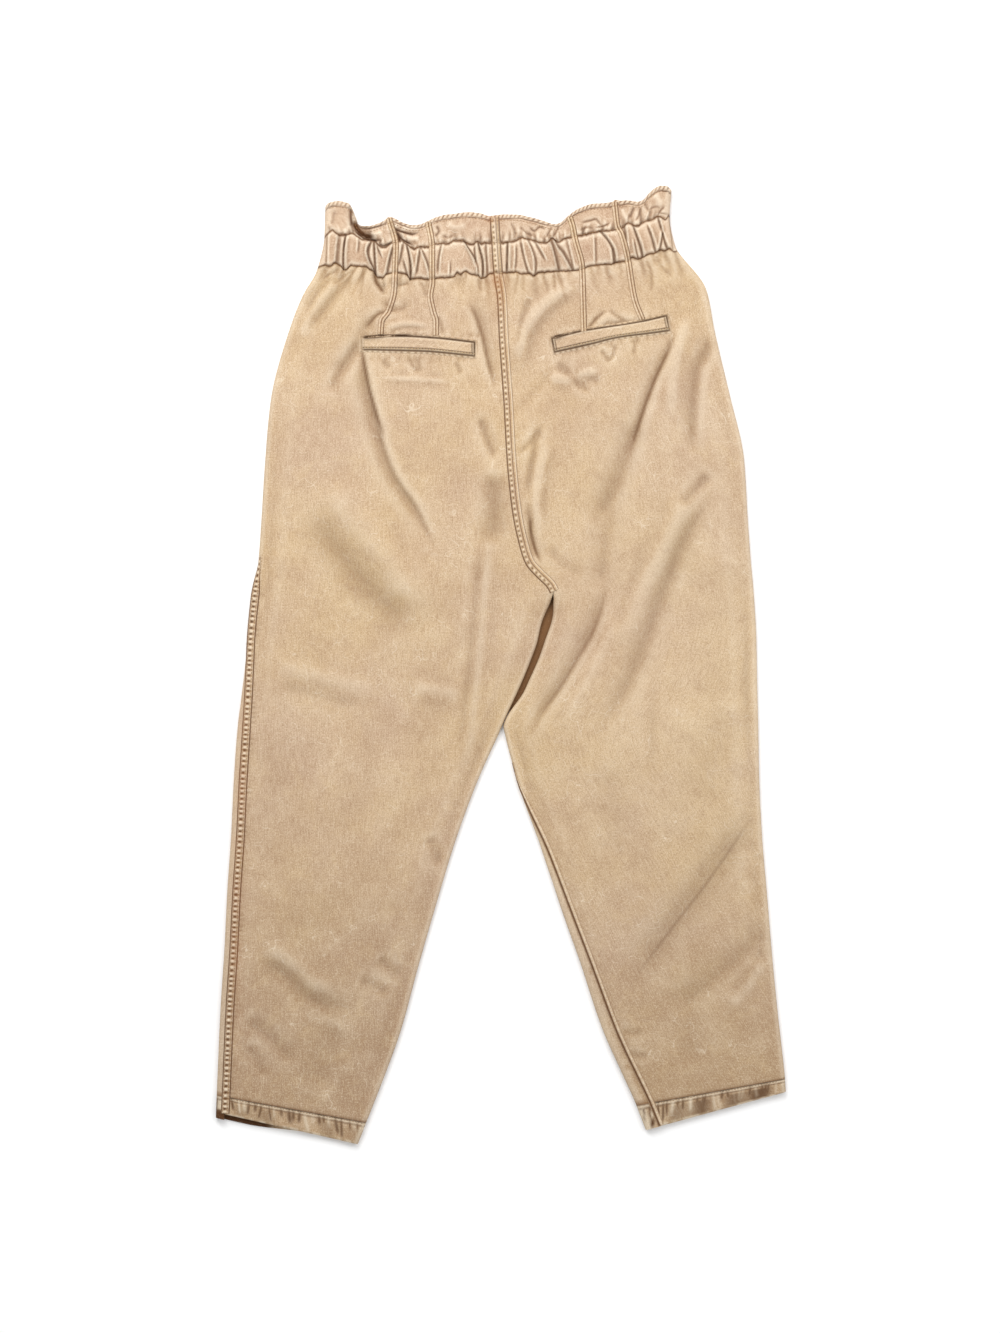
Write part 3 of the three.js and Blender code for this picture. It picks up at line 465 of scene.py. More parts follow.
def casingRelief(layer, x, share):
    within = np.clip(share, 0, 1)
    puff = np.sin(np.pi * within)
    ripple = np.sin(x / casingForm["waveLong"] + 2 * np.sin(x / casingForm["drift"]))
    height = casingForm["bulge"] * puff**0.6 + casingForm["wave"] * ripple * puff
    light, soil = np.zeros(x.shape), np.zeros(x.shape)
    for r in casingRidges[layer]:
        off = x - mix(r["top"], r["foot"], share) - r["bow"] * puff
        along = ease(r["start"] - 0.15, r["start"] + 0.12, share) * ease(r["end"] + 0.15, r["end"] - 0.12, share)
        fromHollow = np.abs(off - r["way"] * casingForm["beside"])
        hollow = np.exp(-(fromHollow / (casingForm["slim"] * r["hollow"])) ** 1.5) * along
        crest = np.exp(-(np.abs(off) / (casingForm["slim"] + 0.2 * r["crest"])) ** 1.6) * along
        height = height + r["crest"] * crest - casingForm["sunk"] * r["crest"] * hollow
        light = np.maximum(light, min(1, 0.42 * r["crest"]) * crest)
        soil = np.maximum(soil, r["dark"] * hollow)
    return height, soil * (1 - 0.8 * light)


# long shallow wrinkles, mostly with the leg
wrinkleForm = {"count": 150, "x": (-300, 300), "y": (-500, 400), "lean": 0.3, "length": (40, 110), "depth": 0.3,
               "width": (6, 16)}
wrinkles = []
for _ in range(wrinkleForm["count"]):
    x0, y0 = rng.uniform(*wrinkleForm["x"]), rng.uniform(*wrinkleForm["y"])
    lean = wrinkleForm["lean"]
    tilt = rng.normal(0, 0.5) + (lean if x0 > 0 else -lean) * (1 if y0 > 0 else -1)
    wrinkles.append((x0, y0, math.sin(tilt), math.cos(tilt), rng.uniform(*wrinkleForm["length"]),
                     rng.normal(0, wrinkleForm["depth"]), rng.uniform(*wrinkleForm["width"])))


def wrinkleRelief(x, y):
    height = np.zeros(x.shape)
    for x0, y0, dx, dy, length, depth, width in wrinkles:
        near = (np.abs(x - x0) < length) & (np.abs(y - y0) < length)
        if near.any():
            rx, ry = x[near] - x0, y[near] - y0
            along, off = rx * dx + ry * dy, rx * dy - ry * dx
            height[near] += depth * np.exp(-((off / width) ** 2) - (2 * along / length) ** 2)
    return height


def swell(x, y):  # slow rise and fall of cloth that isn't pressed
    return (0.7 * np.sin(x / 47 + 1.3 * np.sin(y / 91)) + 0.5 * np.sin(y / 63 + x / 71 + 0.8)
            + 0.35 * np.sin(x / 23 - y / 38))


def softFloor(value, floor):
    over = value - floor
    return floor + 0.5 * (over + np.sqrt(over * over + 0.8))


# ---- the ring: points of one layer by how far along its face they lie from the outer edge
def innerRoll(layer, s):
    start = station["crotch"] - 0.02 if layer == "back" else station["gap"]
    return ease(start, start + 0.6, s)


def innerLine(side, layer, s):
    own = lines[side]["inner"](s)
    if layer == "back":
        start, end = station["crotch"], station["gap"]
        close = form["forkClose"] * ease(start + 0.6, start + 1.2, s) * ease(end, end - 1.5, s)
        close = close - 1.6 * ease(start, start + 0.25, s) * ease(start + 1.1, start + 0.5, s)
        corner = 2.5 * np.exp(-np.abs(s - end) / 0.22)
        return own - close - corner if side == "right" else own + close
    shared = (lines["left"]["inner"](s) + lines["right"]["inner"](s)) / 2
    return mix(shared, own, ease(station["gap"] - 0.5, station["gap"], s))


# how far the right inseam lies in from the edge on top, against the station
inseamLine = smoothCurve(*zip((12.5, -1.5), (13, 0.5), (13.5, 3.5), (14.2, 8), (15, 10.5), (16, 12.5), (17, 15),
                              (18, 16), (19, 16)))


def seamAt(side, which, s):  # how far the seam lies over the rolled edge, on top where positive
    toTop = (math.pi / 2 - 1) * form["legEdge"]
    if which == "side" and side == "right":
        return -(math.pi / 2) * lines["right"]["edge"](s) - form["turnUnder"]
    if which == "side":
        shown = ease(station["curve"] - 0.3, station["gap"] + 0.6, s)
        return mix(form["hiddenSeam"], form["sideInset"] + toTop, shown)
    if side == "left":
        return form["hiddenSeam"] + 0 * s
    onTop = ease(station["gap"] + 0.7, station["gap"] + 1.4, s)
    return toTop * onTop + inseamLine(np.clip(s, station["gap"] + 0.5, station["foot"]))


def topRelief(layer, x, y, s):
    height, soil = foldRelief(folds if layer == "back" else wideFolds, x, y)
    height = height + wrinkleRelief(x, y) + swell(x, y) * ease(station["casing"], station["pocket"], s)
    for name in ("underCasing", "overCasing", "underWelts", "overWelts"):
        more, dark = puckerRelief(puckers[name], x, y)
        height, soil = height + more, np.maximum(soil, dark)
    inCasing = (s >= 1) & (s <= 2)
    more, dark = casingRelief(layer, x, s - 1)
    height = np.where(inCasing, more + 0.3 * height, height)
    soil = np.where(inCasing, dark, soil)
    inHeading = s < 1
    if inHeading.any():
        more, dark = foldRelief(headingFolds, x, y)
        crease, inCrease = puckerRelief(puckers["heading"], x, y)
        more, dark = more + crease, np.maximum(dark, 1.2 * inCrease)
        lift = 0.9 * np.sin(x / 11 + 1.1 * np.sin(x / 31)) * ease(1, 0.3, s)
        height = np.where(inHeading, height + more + lift, height)
        soil = np.where(inHeading, np.maximum(soil, dark), soil)
    pinch = np.exp(-(((s - 1) / 0.07) ** 2)) + np.exp(-(((s - 2) / 0.055) ** 2))
    return height - 1.6 * pinch, soil


def facePoints(side, layer, s, along):
    line = lines[side]
    radius, outer, level = line["edge"](s), line["outer"](s), line["level"](s)
    inner = innerLine(side, layer, s)
    quarter = math.pi / 2 * radius
    wide = np.abs(outer - inner)
    roll = innerRoll(layer, s)
    total = wide - radius + quarter + roll * (quarter - radius)

    def ring(distance):
        angle = np.clip(distance / radius, -math.pi / 2, math.pi / 2)
        flat = np.maximum(0, np.abs(distance) - quarter)
        return radius * (1 - np.cos(angle)) + flat, np.sin(angle)

    inset, up = ring(along)
    insetIn, upIn = ring(total - along)
    weight = roll * ease(3 * radius, 1.5 * radius, total - along)
    inset = mix(inset, wide - insetIn, weight)
    up = mix(up, upIn, weight)
    x = outer + np.sign(inner - outer) * inset
    across = np.clip((x - inner) / (outer - inner), 0, 1)
    bend = np.where(s < station["crotch"], across**2, across)
    y = line["y"](s) + line["rise"](s) * bend
    upper, lower = waistY("upper", x), waistY("lower", x)
    edge = waistY("edge", x)
    if layer == "front":
        edge = edge - 4 * ease(0, 20, np.abs(x - outer) - radius)
    y = np.where(s < 1, mix(edge, upper, s), y)
    y = np.where((s >= 1) & (s < 2), mix(upper, lower, s - 1), y)
    below = (s >= 2) & (s < 4)
    atRow = line["y"](2.0) + line["rise"](2.0) * bend
    y = np.where(below, y + (lower - atRow) * ease(3.2, 2, s), y)
    if layer == "front" and side == "left":
        y = y - form["frontDrop"] * ease(station["ankle"], station["foot"], s) * ease(0.3, 0.8, across)
    settle = ease(0, form["rollFade"], np.abs(x - outer) - radius)
    settle = settle * mix(1, ease(0, form["rollFade"], np.abs(x - inner) - radius), innerRoll("back", s))
    fade = ease(-radius, 9, np.abs(x - outer) - radius)
    fade = fade * mix(1, ease(-radius, 9, np.abs(x - inner) - radius), innerRoll("back", s))
    relief, soil = topRelief(layer, x, y, s)
    top = softFloor(mix(2 * radius, level, settle) + fade * relief, form["clearance"])
    under = softFloor(-0.75 * relief * fade, 0) - 0.45
    vertical = up if layer == "back" else -up
    reach = np.where(vertical >= 0, top - radius, radius - np.maximum(0, under))
    z = radius + reach * vertical
    return x, y, z, soil, total


# ---- finishes: washed twill with a mottled ground, pale fibres, painted shade in the recesses and ridges paler by wear and painted highlight
def colour(hexValue):
    parts = [int(hexValue[i:i + 2], 16) / 255 for i in (0, 2, 4)]
    return tuple(c / 12.92 if c <= 0.04045 else ((c + 0.055) / 1.055) ** 2.4 for c in parts) + (1,)


def makeNode(tree, kind, values=None, **settings):
    node = tree.nodes.new(kind)
    for key, value in settings.items():
        setattr(node, key, value)
    for key, value in (values or {}).items():
        if isinstance(value, bpy.types.NodeSocket):
            tree.links.new(value, node.inputs[key])
        else:
            node.inputs[key].default_value = value
    return node


def mixColour(tree, share, a, b):
    return makeNode(tree, "ShaderNodeMix", {0: share, 6: a, 7: b}, data_type="RGBA").outputs[2]


def maths(tree, how, a, b=None, clamp=False):
    values = {0: a} if b is None else {0: a, 1: b}
    return makeNode(tree, "ShaderNodeMath", values, operation=how, use_clamp=clamp).outputs[0]


def spread(tree, value, low, high):
    return makeNode(tree, "ShaderNodeMapRange", {0: value, 1: low, 2: high}, clamp=True).outputs[0]


def noise(tree, place, scale, detail=3.0, rough=0.55, warp=0.0, stretch=None):
    if stretch:
        place = makeNode(tree, "ShaderNodeMapping", {0: place, 3: stretch}).outputs[0]
    values = {"Vector": place, "Scale": scale, "Detail": detail, "Roughness": rough, "Distortion": warp}
    return makeNode(tree, "ShaderNodeTexNoise", values).outputs[0]


# what tints the ground, in order: the field, where it starts and is full, how strongly, to which colour
tints = [
    # upright darkens towards the foot and leftShin the left shin, painted shade where the light falls off; rightThigh
    # is painted light
    ("upright", -0.2, -0.42, 0.58, "low"), ("leftShin", 0, 1, 0.24, "low"), ("rightThigh", 0, 1, 0.3, "pale"),
    ("patchy", 0.5, 0.68, 0.42, "warm"), ("patchy", 0.49, 0.32, 0.52, "grey"),
    ("cloudy", 0.48, 0.75, 0.34, "pale"), ("cloudy", 0.52, 0.25, 0.26, "deep"),
    ("slubs", 0.5, 0.72, 0.5, "pale"), ("slubs", 0.49, 0.3, 0.5, "deep"), ("weft", 0.55, 0.75, 0.35, "pale"),
    ("flecks", 0.52, 0.7, 0.72, "pale"), ("flecks", 0.5, 0.32, 0.65, "deep"),
    ("fibres", 0.57, 0.7, 0.45, "pale"), ("fibres", 0.43, 0.3, 0.35, "deep"),
    ("loose", 0, 1, 0.5, "bare"), ("grainy", 0.5, 0.75, 0.4, "deep"),
]


def clothMaterial(name, look):
    material = bpy.data.materials.new(name)
    material.use_nodes = True
    tree = material.node_tree
    shader = tree.nodes["Principled BSDF"]
    place = makeNode(tree, "ShaderNodeTexCoord").outputs["Object"]
    weave = makeNode(tree, "ShaderNodeUVMap", uv_map="weave").outputs[0]
    wornAndLit, paintedShading, rusty = (makeNode(tree, "ShaderNodeAttribute", attribute_name=n).outputs["Fac"]
                           for n in ("wearAndHighlight", "soil", "rust"))

    def tinted(ground, value, low, high, strength, to):
        share = maths(tree, "MULTIPLY", spread(tree, value, low, high), strength)
        return mixColour(tree, share, ground, colour(look[to]))

    fields = {
        "broad": noise(tree, place, look["blotch"], 3, 0.5), "patchy": noise(tree, place, 48, 5, 0.7, 0.6),
        "cloudy": noise(tree, place, 22, 4, 0.6, 0.3), "grainy": noise(tree, place, 1300, 2, 0.6),
        # slubs run with the leg, flecks sit in the weave, fibres lie every way
        "flecks": noise(tree, weave, 1, 2, 0.65, 0, (1050, 620, 1)),
        "slubs": noise(tree, weave, 1, 3, 0.65, 0.2, (850, 70, 1)),
        "weft": noise(tree, weave, 1, 2, 0.6, 0.2, (110, 900, 1)), "fibres": noise(tree, place, 170, 4, 0.75, 3),
    }
    fields["across"], fields["upright"] = makeNode(tree, "ShaderNodeSeparateXYZ", {0: place}).outputs[:2]

    def both(*ramps):
        shares = [spread(tree, fields[name], low, high) for name, low, high in ramps]
        share = shares[0]
        for more in shares[1:]:
            share = maths(tree, "MULTIPLY", share, more)
        return share

    # patches of painted shade on the left shin and of painted light on the right thigh
    fields["leftShin"] = both(("across", 0.02, -0.12), ("upright", -0.12, -0.3))
    fields["rightThigh"] = both(("across", 0.05, 0.14), ("upright", -0.24, -0.06), ("upright", 0.3, 0.12))
    thread = noise(tree, place, 62, 1, 0.4, 0.3)
    fields["thread"] = maths(tree, "ABSOLUTE", maths(tree, "SUBTRACT", thread, 0.5))
    fields["loose"] = both(("thread", 0.009, 0.002), ("cloudy", 0.44, 0.58))
    ground = mixColour(tree, spread(tree, fields["broad"], 0.36, 0.64), colour(look["cool"]), colour(look["warm"]))
    for name, low, high, strength, to in tints:
        ground = tinted(ground, fields[name], low, high, strength, to)
    # ridges paler by wear and painted highlight, painted shade in the recesses, and the rusty stain
    rubAndHighlight = maths(tree, "MULTIPLY", wornAndLit, spread(tree, fields["grainy"], 0.2, 0.55), True)
    ground = mixColour(tree, maths(tree, "MULTIPLY", rubAndHighlight, look["rubAndHighlight"]), ground, colour(look["bare"]))
    shadeMix = maths(tree, "MULTIPLY", paintedShading, spread(tree, fields["flecks"], 0.1, 0.42), True)
    ground = mixColour(tree, maths(tree, "MULTIPLY", shadeMix, look["shadeMix"]), ground, colour(look["recess"]))
    stain = maths(tree, "MULTIPLY", rusty, spread(tree, fields["cloudy"], 0.25, 0.6), True)
    ground = mixColour(tree, maths(tree, "MULTIPLY", stain, 0.55), ground, colour(look["rust"]))
    tree.links.new(ground, shader.inputs["Base Color"])
    surface = {"Roughness": 0.95, "Specular IOR Level": 0.15, "Sheen Weight": 0.06, "Sheen Roughness": 0.7,
               "Sheen Tint": colour("EBD9BC")}
    for key, value in surface.items():
        shader.inputs[key].default_value = value
    # the twill's diagonal, its slubs and the nap
    diagonal = makeNode(tree, "ShaderNodeMapping", {0: weave, 2: (0, 0, math.radians(62))}).outputs[0]
    banded = {"Vector": diagonal, "Scale": 620, "Distortion": 2.0, "Detail": 1.0}
    twill = makeNode(tree, "ShaderNodeTexWave", banded, wave_type="BANDS", bands_direction="X").outputs["Fac"]
    height = maths(tree, "MULTIPLY", twill, 0.15)
    crumple = noise(tree, place, 60, 4, 0.6, 0.5)
    for field, share in ((fields["slubs"], 0.5), (fields["fibres"], 0.5), (fields["flecks"], 0.5), (crumple, 2.2)):
        height = maths(tree, "ADD", height, maths(tree, "MULTIPLY", field, share))
    bump = makeNode(tree, "ShaderNodeBump", {"Height": height, "Strength": look["bump"], "Distance": 0.0009})
    tree.links.new(bump.outputs[0], shader.inputs["Normal"])
    return material


# recess is the colour of the painted shade in hollows and creases, low that of the painted shade towards the foot and
# on the left shin
lookColumns = ("cool", "warm", "pale", "deep", "grey", "bare", "recess", "rust", "low", "rubAndHighlight", "shadeMix", "blotch")
looks = {
    "body": ("BCA188", "C6AB84", "D8C4A8", "98795B", "AD9072", "E2D3BC", "644327", "95592B", "8D6F55", 0.75, 0.85, 6),
    "waist": ("B99C84", "C0A388", "D6C2A8", "95745A", "AA8A70", "E8DAC4", "4E2E17", "A46536", "8D6F55", 0.9, 1, 9),
    "seam": ("BDA086", "C3A682", "DAC6A8", "997550", "AC8C6C", "EBDDC6", "512F16", "96592C", "8D6F55", 0.9, 1, 12),
    "hem": ("BEA386", "C6AB88", "DCC8AA", "93744F", "A5876A", "E4D6BE", "51321B", "A26536", "A98A6C", 0.9, 1, 12),
}
looks = {name: dict(zip(lookColumns, row), bump=0.5) for name, row in looks.items()}
looks["welt"] = dict(looks["body"], recess="3C2513", shadeMix=1)
looks["under"] = dict(looks["body"], recess="7A5738", shadeMix=1)
cloth = {name: clothMaterial(name + "Cloth", look) for name, look in looks.items()}


def threadMaterial(name, light, dark):
    material = bpy.data.materials.new(name)
    material.use_nodes = True
    tree = material.node_tree
    shader = tree.nodes["Principled BSDF"]
    place = makeNode(tree, "ShaderNodeTexCoord").outputs["Object"]
    shade = mixColour(tree, spread(tree, noise(tree, place, 160, 3, 0.6), 0.35, 0.65), colour(light), colour(dark))
    tree.links.new(shade, shader.inputs["Base Color"])
    ply = makeNode(tree, "ShaderNodeTexWave", {"Vector": place, "Scale": 1400, "Distortion": 0.6}).outputs["Fac"]
    bump = makeNode(tree, "ShaderNodeBump", {"Height": ply, "Strength": 0.4, "Distance": 0.0002})
    tree.links.new(bump.outputs[0], shader.inputs["Normal"])
    shader.inputs["Roughness"].default_value = 0.62
    shader.inputs["Specular IOR Level"].default_value = 0.35
    return material


thread = {"pale": threadMaterial("paleThread", "D9BE93", "B4915F"),
          "brown": threadMaterial("brownThread", "9A7040", "6E4A2A")}
print("finishes made")


# ---- sheets
def blurred(grid, passes):
    for _ in range(passes):
        padded = np.pad(grid, 1, mode="edge")
        around = padded[:-2, 1:-1] + padded[2:, 1:-1] + padded[1:-1, :-2] + padded[1:-1, 2:]
        grid = 0.2 * grid + 0.2 * around
    return grid


def sheetPiece(name, x, y, z, marks, up, wall, material):  # a grid of points made into cloth
    rows, columns = x.shape
    points = np.stack([x, y, z], axis=-1).reshape(-1, 3)
    points = (points + shift) * mm
    index = np.arange(rows * columns).reshape(rows, columns)
    quads = np.stack([index[:-1, :-1], index[:-1, 1:], index[1:, 1:], index[1:, :-1]], axis=-1).reshape(-1, 4)
    r, c = rows // 2, columns // 2
    across = np.array([x[r, c + 1] - x[r, c - 1], y[r, c + 1] - y[r, c - 1]])
    down = np.array([x[r + 1, c] - x[r - 1, c], y[r + 1, c] - y[r - 1, c]])
    if (across[0] * down[1] - across[1] * down[0] > 0) != up:
        quads = quads[:, ::-1]
    mesh = bpy.data.meshes.new(name)
    mesh.from_pydata(points.tolist(), [], quads.tolist())
    stepAcross = np.hypot(np.hypot(np.diff(x, axis=1), np.diff(y, axis=1)), np.diff(z, axis=1))
    weaveU = np.concatenate([np.zeros((rows, 1)), np.cumsum(stepAcross, axis=1)], axis=1)
    middle = slice(columns // 2, columns // 2 + 1)
    weaveUV = np.stack([(weaveU - weaveU[:, middle] + x[:, middle]), y], axis=-1)
    loops = np.zeros(len(mesh.loops), int)
    mesh.loops.foreach_get("vertex_index", loops)
    layer = mesh.uv_layers.new(name="weave")
    layer.data.foreach_set("uv", (weaveUV.reshape(-1, 2)[loops] * mm).ravel())
    for mark, values in marks.items():
        store = mesh.attributes.new(mark, "FLOAT", "POINT")
        store.data.foreach_set("value", np.clip(values, 0, 1).ravel().astype(np.float32))
    mesh.materials.append(material)
    piece = bpy.data.objects.new(name, mesh)
    bpy.context.collection.objects.link(piece)
    solid = piece.modifiers.new("wall", "SOLIDIFY")
    solid.thickness, solid.offset = wall * mm, -1
    applyAll(piece)
    return piece


creaseAngle = 55


def applyAll(piece):
    bpy.ops.object.select_all(action="DESELECT")
    piece.select_set(True)
    bpy.context.view_layer.objects.active = piece
    for modifier in list(piece.modifiers):
        bpy.ops.object.modifier_apply(modifier=modifier.name)
    bpy.ops.object.shade_smooth_by_angle(angle=math.radians(creaseAngle))
    piece.select_set(False)


def rowStations(side, start, end, near, far):  # even steps down the leg, closer ones at the waist
    fine = np.linspace(start, end, 3000)
    travel = np.abs(np.diff(lines[side]["y"](fine)))
    spacing = mix(near, far, ease(station["casing"], station["pocket"] + 1, fine[:-1]))
    steps = np.concatenate([[0], np.cumsum(travel / spacing)])
    count = int(math.ceil(steps[-1]))
    return np.interp(np.linspace(0, steps[-1], count + 1), steps, fine)


def columnSteps(start, end, fine, fineCount, coarse):
    edge = fine * np.arange(fineCount)
    first, last = start + edge, end - edge[::-1]
    count = int(round(np.max(last[:, 0] - first[:, -1]) / coarse))
    between = mix(first[:, -1:], last[:, :1], np.arange(1, count) / count)
    return np.concatenate([first, between, last], axis=1)


# rusty stains: centre, width and height of each, and its strength
rustSpots = [(-271, -90, 6, 130, 0.5), (-278, -260, 6, 120, 0.6), (-4, 402, 11, 9, 0.95), (-2, 386, 7, 16, 0.8),
             (-9, 466, 7, 5, 0.7), (40, 268, 40, 30, 0.12), (120, 40, 60, 90, 0.16)]


def rustAt(x, y):
    return sum(k * np.exp(-(((x - a) / w) ** 2) - ((y - b) / h) ** 2) for a, b, w, h, k in rustSpots)


# each band down the body: its stations, the mesh's steps down and across, its wall, finish and slot
bandColumns = ("start", "end", "near", "far", "fine", "fineCount", "coarse", "wall", "look", "slot")
bands = {
    "heading": (0, 1, 0.95, 0.95, 0.9, 14, 0.95, 1.3, "waist", "waist_cloth"),
    "casing": (1, 2, 0.95, 0.95, 0.9, 14, 0.9, 1.3, "waist", "waist_cloth"),
    "panel": (2, station["ankle"], 1.5, 2.55, 1.2, 14, 2.65, 0.9, "body", "cloth"),
    "hem": (station["ankle"], station["foot"], 1.0, 1.0, 1.0, 15, 1.1, 1.5, "hem", "hem_cloth"),
}
bands = {name: dict(zip(bandColumns, row)) for name, row in bands.items()}
frontThin = 2.2  # the hidden front has wider steps than the back
rowTall = {"heading": 30, "casing": 35, "hem": 24}  # what one station of each measures, near enough
whipForm = {"depth": 4.2, "period": 4.7, "height": 0.35}  # the overcast edge of the heading


def uneven(x, seed):  # slow change along a row, from 0 to 1
    waves = 0.35 * np.sin(x / 7.1 + seed) + 0.3 * np.sin(x / 2.9 + 2 * seed) + 0.2 * np.sin(x / 17 + 3 * seed)
    return np.clip(0.5 + waves, 0, 1)


def seamMarks(band, side, layer, x, y, z, s, soil):
    inBody = band == "panel"
    # raised cloth paler by wear and painted highlight, painted shade in its hollows
    bulge = z - blurred(z, 9 if inBody else 12)
    wearAndHighlight = np.clip(bulge / (0.4 if inBody else 0.55), 0, 1) * (0.45 if inBody else 0.85)
    soil = np.maximum(soil, np.clip(-bulge / 0.6, 0, 1) * (0.4 if inBody else 0.6))
    # painted shade along the stitched rows where the gathers pinch, with a paler line beside them as wear and painted
    # highlight
    for row, tall in ((1, rowTall["heading"]), (2, rowTall["casing"])):
        off = np.abs(s - row) * tall
        dark = uneven(x, row)
        soil = np.maximum(soil, np.exp(-((off / (0.6 + 0.9 * dark)) ** 2)))
        wearAndHighlight = np.maximum(wearAndHighlight, 0.85 * np.exp(-(((off - 2.2 - dark) / 1.0) ** 2)) * uneven(x * 1.7, 5 + row))
    if band in ("panel", "hem"):
        # painted shade in the groove at the hem's top
        rim = np.abs(s - station["ankle"]) * rowTall["hem"]
        soil = np.maximum(soil, 0.8 * np.exp(-((rim / 1.0) ** 2)))
    if layer == "front" and side == "left" and band == "hem":  # painted shadow inside the leg's open end
        inside = ease(-232, -248, x) * ease(station["ankle"] + 0.45, station["ankle"] + 0.6, s)
        soil = np.maximum(soil, inside)
    return wearAndHighlight * (1 - 0.8 * soil), soil


# the hems' pulls: where, how wide and high, how far they lean and reach
pullForm = {"half": 304.0, "width": (1.1, 2.4), "high": (-1.3, 1.3), "lean": (-5, 5),
            "reach": (0.35, 1), "gap": (3.2, 8)}
hemPulls, at = [], -pullForm["half"]
while at < pullForm["half"]:
    hemPulls.append((at, *(rng.uniform(*pullForm[key]) for key in ("width", "high", "lean", "reach"))))
    at += rng.uniform(*pullForm["gap"])


def hemRelief(x, share):
    height, light, dark = np.zeros(x.shape), np.zeros(x.shape), np.zeros(x.shape)
    for at, width, high, lean, reach in hemPulls:
        shape = np.exp(-(((x - at - lean * share) / width) ** 2)) * ease(reach + 0.15, reach - 0.3, share)
        height += high * shape
        # raised pulls paler by wear and painted highlight, sunk ones with painted shade
        if high > 0.2:
            light = np.maximum(light, 0.8 * high * shape)
        else:
            dark = np.maximum(dark, 0.85 * shape)
    return height, light, dark


def whipRelief(x, s):  # the overcast edge: paler on the rope's turns by wear and painted highlight, painted shade in the ticks between them and the groove below
    down = s * rowTall["heading"]
    inBand = ease(whipForm["depth"] + 0.6, whipForm["depth"] - 0.6, down)
    turn = 2 * np.pi * (x + 0.6 * down + 1.6 * np.sin(x / 13)) / whipForm["period"]
    rope = np.sin(turn)
    groove = np.exp(-(((down - whipForm["depth"] - 0.7) / 0.7) ** 2))
    height = whipForm["height"] * rope * inBand - 0.8 * groove - 1.2 * ease(1.2, 0, down)
    light = inBand * (0.3 + 0.4 * np.clip(rope, 0, 1))
    tick = inBand * np.clip(-1.5 * rope - 0.6, 0, 1) * (0.35 + 0.65 * uneven(2.3 * x, 3))
    return height, light * (rope > -0.4), np.maximum(0.9 * tick, 0.95 * groove * (0.45 + 0.55 * uneven(x, 9)))


def turnedHem(x, s):  # the stitched and worn turning of a hem: painted shade in its grooves, a painted highlight on its top fold and a worn, paler rim
    tall = rowTall["hem"]
    share = np.clip(s - station["ankle"], 0, 1)
    pulls, light, dark = hemRelief(x, share)
    groove = np.exp(-(((share - 0.13) * tall / 0.9) ** 2))
    height = pulls * 0.8 - 1.1 * np.exp(-((share * tall / 1.2) ** 2)) - 0.5 * groove - 1.4 * ease(0.94, 1, share)
    rim = np.clip(2.4 * (uneven(1.6 * x, 7) - 0.35), 0, 1)
    light = np.maximum(light, 0.9 * np.exp(-(((share - 0.05) * tall / 1.1) ** 2)))
    light = np.maximum(light, 0.9 * ease(0.84, 0.96, share) * rim)
    within = ease(0.12, 0.26, share) * ease(1, 0.84, share)
    mottled = mix(0.35, 0.85, ease(150, 230, x)) * uneven(x * 0.6, 4) * within
    slit = np.exp(-(((x - 159) / 2.2) ** 2) - ((share - 0.75) / 0.22) ** 2)  # painted shadow where the right hem gapes at its seam
    dark = np.maximum(dark, np.maximum(np.maximum(0.65 * groove, mottled), 1.4 * slit))
    return height, light, dark * (1 - 0.6 * light)


# puckers beside the seams: painted shade in the sunk part of each pull
def besideInseam(y, z):
    rung = np.sin(2 * np.pi * (y + 3 * np.sin(y / 17)) / 11) * uneven(1.3 * y, 3)
    shown = ease(7, 8, z)
    return 0.45 * rung * shown, shown * np.clip(0.25 + 0.5 * uneven(0.8 * y, 1) - 0.45 * rung, 0, 1)


def besideSeam(y, off):
    rung = 0.5 + 0.5 * np.sin(2 * np.pi * (y + 1.3 * np.sin(y / 9)) / 5.7)
    reach = 4 + 7 * uneven(y / 1.7, 6)
    shown = ease(reach, 0.3 * reach, off - 4) * ease(100, 70, y)
    return -0.35 * rung * shown, 0.5 * rung**2 * shown * uneven(y, 8)


